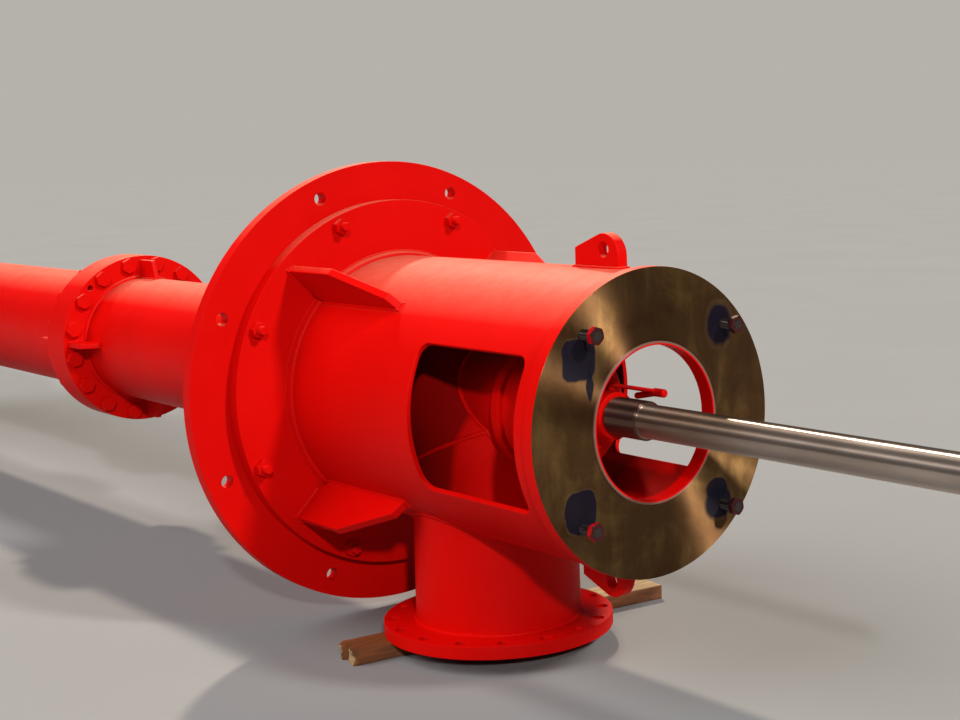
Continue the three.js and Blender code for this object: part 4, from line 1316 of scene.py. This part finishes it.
def add_bell():
    end, top = BELL
    flare_start = top - BELL_THROAT_LENGTH
    flare_length = top - end - BELL_THROAT_LENGTH - BELL_WALL
    flare_height = BELL_MOUTH_RADIUS - BELL_THROAT_RADIUS

    def flare(step, wall):
        angle = math.pi / 2 * step / BELL_FLARE_STEPS
        x = flare_start - (flare_length + wall) * math.sin(angle)
        return (x, BELL_MOUTH_RADIUS - (flare_height + wall) * math.cos(angle), 0)

    vane_end = top - BOWL_FLANGE_THICKNESS
    bell = turned(filleted([
        (top, BELL_THROAT_RADIUS - BELL_WALL),
        *[flare(k, BELL_WALL) for k in range(BELL_FLARE_STEPS)],
        (end, BELL_MOUTH_RADIUS, 0.004),
        *[flare(k, 0) for k in range(BELL_FLARE_STEPS, -1, -1)],
        (vane_end, BELL_THROAT_RADIUS, 0.010),
        (vane_end, BOWL_FLANGE_RADIUS, 0.003),
        (top, BOWL_FLANGE_RADIUS, 0.003),
    ], steps=4))
    hub_start = top - BELL_HUB_LENGTH
    hub = turned(filleted([
        (hub_start, 0.0), (hub_start, BELL_HUB_RADIUS, 0.012), (vane_end, BELL_HUB_RADIUS), (vane_end, 0.0),
    ], closed=False), SMALL_SEGMENTS)
    copy_into(bell, hub)
    inner, outer = BELL_HUB_RADIUS - BELL_VANE_ROOT, BELL_THROAT_RADIUS - BELL_WALL + BELL_VANE_ROOT
    outline = ring_section(vane_end - BELL_VANE_LENGTH, vane_end, inner, outer)
    for angle in spread(BELL_VANE_COUNT):
        turn = Matrix.Rotation(angle, 4, "X")
        copy_into(bell, standing(plate(outline, BELL_VANE_THICKNESS, edge=BELL_VANE_EDGE, steps=3), turn))
    painted("suction_bell", bell)


# Timber

def rough_block(low, high, split, spacing, wear, seed=0.0):
    """A sawn block with uneven faces and worn edges. split is how deep the crack in its near end runs."""
    bm = bmesh.new()
    counts = [max(2, round((high[i] - low[i]) / spacing)) for i in range(3)]
    size = Vector(high) - Vector(low)
    index = {}

    def vertex(i, j, k):
        key = (i, j, k)
        if key not in index:
            share = Vector((i / counts[0], j / counts[1], k / counts[2]))
            index[key] = bm.verts.new(Vector(low) + Vector(a * b for a, b in zip(share, size)))
        return index[key]

    for axis in range(3):
        others = [a for a in range(3) if a != axis]
        for level in (0, counts[axis]):
            for i in range(counts[others[0]]):
                for j in range(counts[others[1]]):
                    corners = []
                    for di, dj in ((0, 0), (1, 0), (1, 1), (0, 1)):
                        key = [0, 0, 0]
                        key[axis] = level
                        key[others[0]] = i + di
                        key[others[1]] = j + dj
                        corners.append(vertex(*key))
                    bm.faces.new(corners)
    middle = (Vector(low) + Vector(high)) / 2
    for (i, j, k), vert in index.items():
        edges = sum(value in (0, count) for value, count in zip((i, j, k), counts))
        inward = middle - vert.co
        inward.y *= WEAR_ALONG
        x, y, z = vert.co
        grain = noise.noise(Vector((x * GRAIN_ACROSS, y * GRAIN_ALONG, z * GRAIN_ACROSS + seed)))
        if edges > 1:
            vert.co += inward.normalized() * wear * (LEAST_WEAR + WEAR_SPREAD * abs(grain))
        if split and j < CRACK_ROWS:
            offset = CRACK_OFFSET - CRACK_LEAN * (vert.co.z - low[2])
            across = abs(vert.co.x - middle.x + offset) / (0.5 * size.x)
            crack = split * max(0.0, 1.0 - across / CRACK_WIDTH) ** CRACK_POWER
            rounding = HALF_ROUNDING * max(0.0, abs(across - HALF_MIDDLE) - HALF_FLAT) ** 2
            spot = Vector((vert.co.x * END_GRAIN + seed, END_SLICE, vert.co.z * GRAIN_ACROSS))
            uneven = noise.noise(spot)
            roughness = END_ROUGHNESS * (uneven + 0.5)
            vert.co.y += (CRACK_ROWS - j) / CRACK_ROWS * (crack + rounding + roughness)
        if 0 < k < counts[2]:
            vert.co.x += FACE_ROUGHNESS * grain
    return bm


def add_timber():
    low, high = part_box("front_bearer")
    half_width, half_length = BEARER_WIDTH / 2, BEARER_LENGTH / 2
    corner, opposite = (-half_width, -half_length, 0), (half_width, half_length, high.z - low.z)
    block = rough_block(corner, opposite, CRACK_DEPTH, spacing=0.0055, wear=0.0035)
    spot = Matrix.Translation(((low.x + high.x) / 2, (low.y + high.y) / 2, low.z))
    place = spot @ Matrix.Rotation(math.radians(BEARER_SKEW), 4, "Z")
    piece("front_bearer_worn", block, BEARER_WOOD, ["front_bearer"], smooth=50, place=place)
    for number, name in enumerate(("rear_baulk_lower", "rear_baulk_upper")):
        low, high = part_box(name)
        block = rough_block(low, high, 0.0, spacing=0.020, wear=0.004, seed=7.0 * (number + 1))
        piece(name + "_sawn", block, BAULK_WOOD, [name], smooth=50, place=Matrix())
    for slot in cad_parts["rear_saddle"].material_slots:
        slot.link = "OBJECT"
        slot.material = BAULK_WOOD


# Camera, floor and light

CAMERA_PLACE = (3.6778, -2.3280, 0.5990)
CAMERA_TURN = (87.737, 1.470, 48.988)
FOCAL_PIXELS = 1614.2
FRAME_SIZE = (960, 720)
PRINCIPAL_POINT = (632.4, 212.4)
SENSOR = 36.0


def add_camera():
    camera = bpy.data.cameras.new("photo_camera")
    camera.sensor_width = SENSOR
    camera.lens = FOCAL_PIXELS / FRAME_SIZE[0] * SENSOR
    camera.shift_x = (FRAME_SIZE[0] / 2 - PRINCIPAL_POINT[0]) / FRAME_SIZE[0]
    camera.shift_y = (PRINCIPAL_POINT[1] - FRAME_SIZE[1] / 2) / FRAME_SIZE[0]
    camera.clip_end = 200
    made = bpy.data.objects.new("photo_camera", camera)
    made.location = TO_MODEL @ Vector(CAMERA_PLACE)
    made.rotation_euler = [math.radians(angle) for angle in CAMERA_TURN]
    bpy.context.scene.collection.objects.link(made)
    bpy.context.scene.camera = made


def far_light(name, direction, strength, softness, colour, mirrored=True):
    """A distant lamp that shines from a direction. softness is its width in degrees."""
    lamp = bpy.data.lights.new(name, "SUN")
    lamp.energy = strength
    lamp.angle = math.radians(softness)
    lamp.color = colour
    made = bpy.data.objects.new(name, lamp)
    made.location = TO_MODEL @ (Vector(direction) * 5)
    made.rotation_euler = Vector(direction).to_track_quat("Z", "Y").to_euler()
    made.visible_glossy = mirrored
    bpy.context.scene.collection.objects.link(made)


def add_stage():
    floor = bmesh.new()
    bmesh.ops.create_circle(floor, cap_ends=True, segments=128, radius=90)
    mesh = bpy.data.meshes.new("floor")
    floor.to_mesh(mesh)
    floor.free()
    mesh.materials.append(floor_material())
    made = bpy.data.objects.new("floor", mesh)
    bpy.context.scene.collection.objects.link(made)

    world = bpy.data.worlds.new("studio")
    world.use_nodes = True
    nodes, links = world.node_tree.nodes, world.node_tree.links
    dim = nodes["Background"]
    dim.inputs["Color"].default_value = (0.94, 0.96, 1.0, 1)
    dim.inputs["Strength"].default_value = 0.08
    backdrop = nodes.new("ShaderNodeBackground")
    backdrop.inputs["Color"].default_value = (0.468, 0.4465, 0.4084, 1)
    seen = nodes.new("ShaderNodeLightPath").outputs["Is Camera Ray"]
    both = nodes.new("ShaderNodeMixShader")
    links.new(seen, both.inputs["Fac"])
    links.new(dim.outputs[0], both.inputs[1])
    links.new(backdrop.outputs[0], both.inputs[2])
    links.new(both.outputs[0], nodes["World Output"].inputs["Surface"])
    bpy.context.scene.world = world
    bpy.context.scene.view_settings.view_transform = "Standard"

    far_light("front_right", (0.80, -0.45, 0.405), 1.5, 2.5, (1.0, 0.97, 0.93))
    far_light("front_left", (-0.34, -0.65, 0.675), 2.5, 50, (1.0, 0.98, 0.96), mirrored=False)
    far_light("overhead", (0.76, 0.18, 0.62), 2.1, 7, (1.0, 0.96, 0.89))
    far_light("back_key", (-0.62, 0.35, 0.70), 3.1, 3.5, (1.0, 0.85, 0.66))


random.seed(20)
add_camera()
add_base()
add_barrel()
add_motor_flange()
add_motor_studs()
add_gussets()
add_lugs()
add_elbow()
add_stuffing_box()
add_shaft()
add_column()
add_bowls()
add_bell()
add_timber()
add_stage()
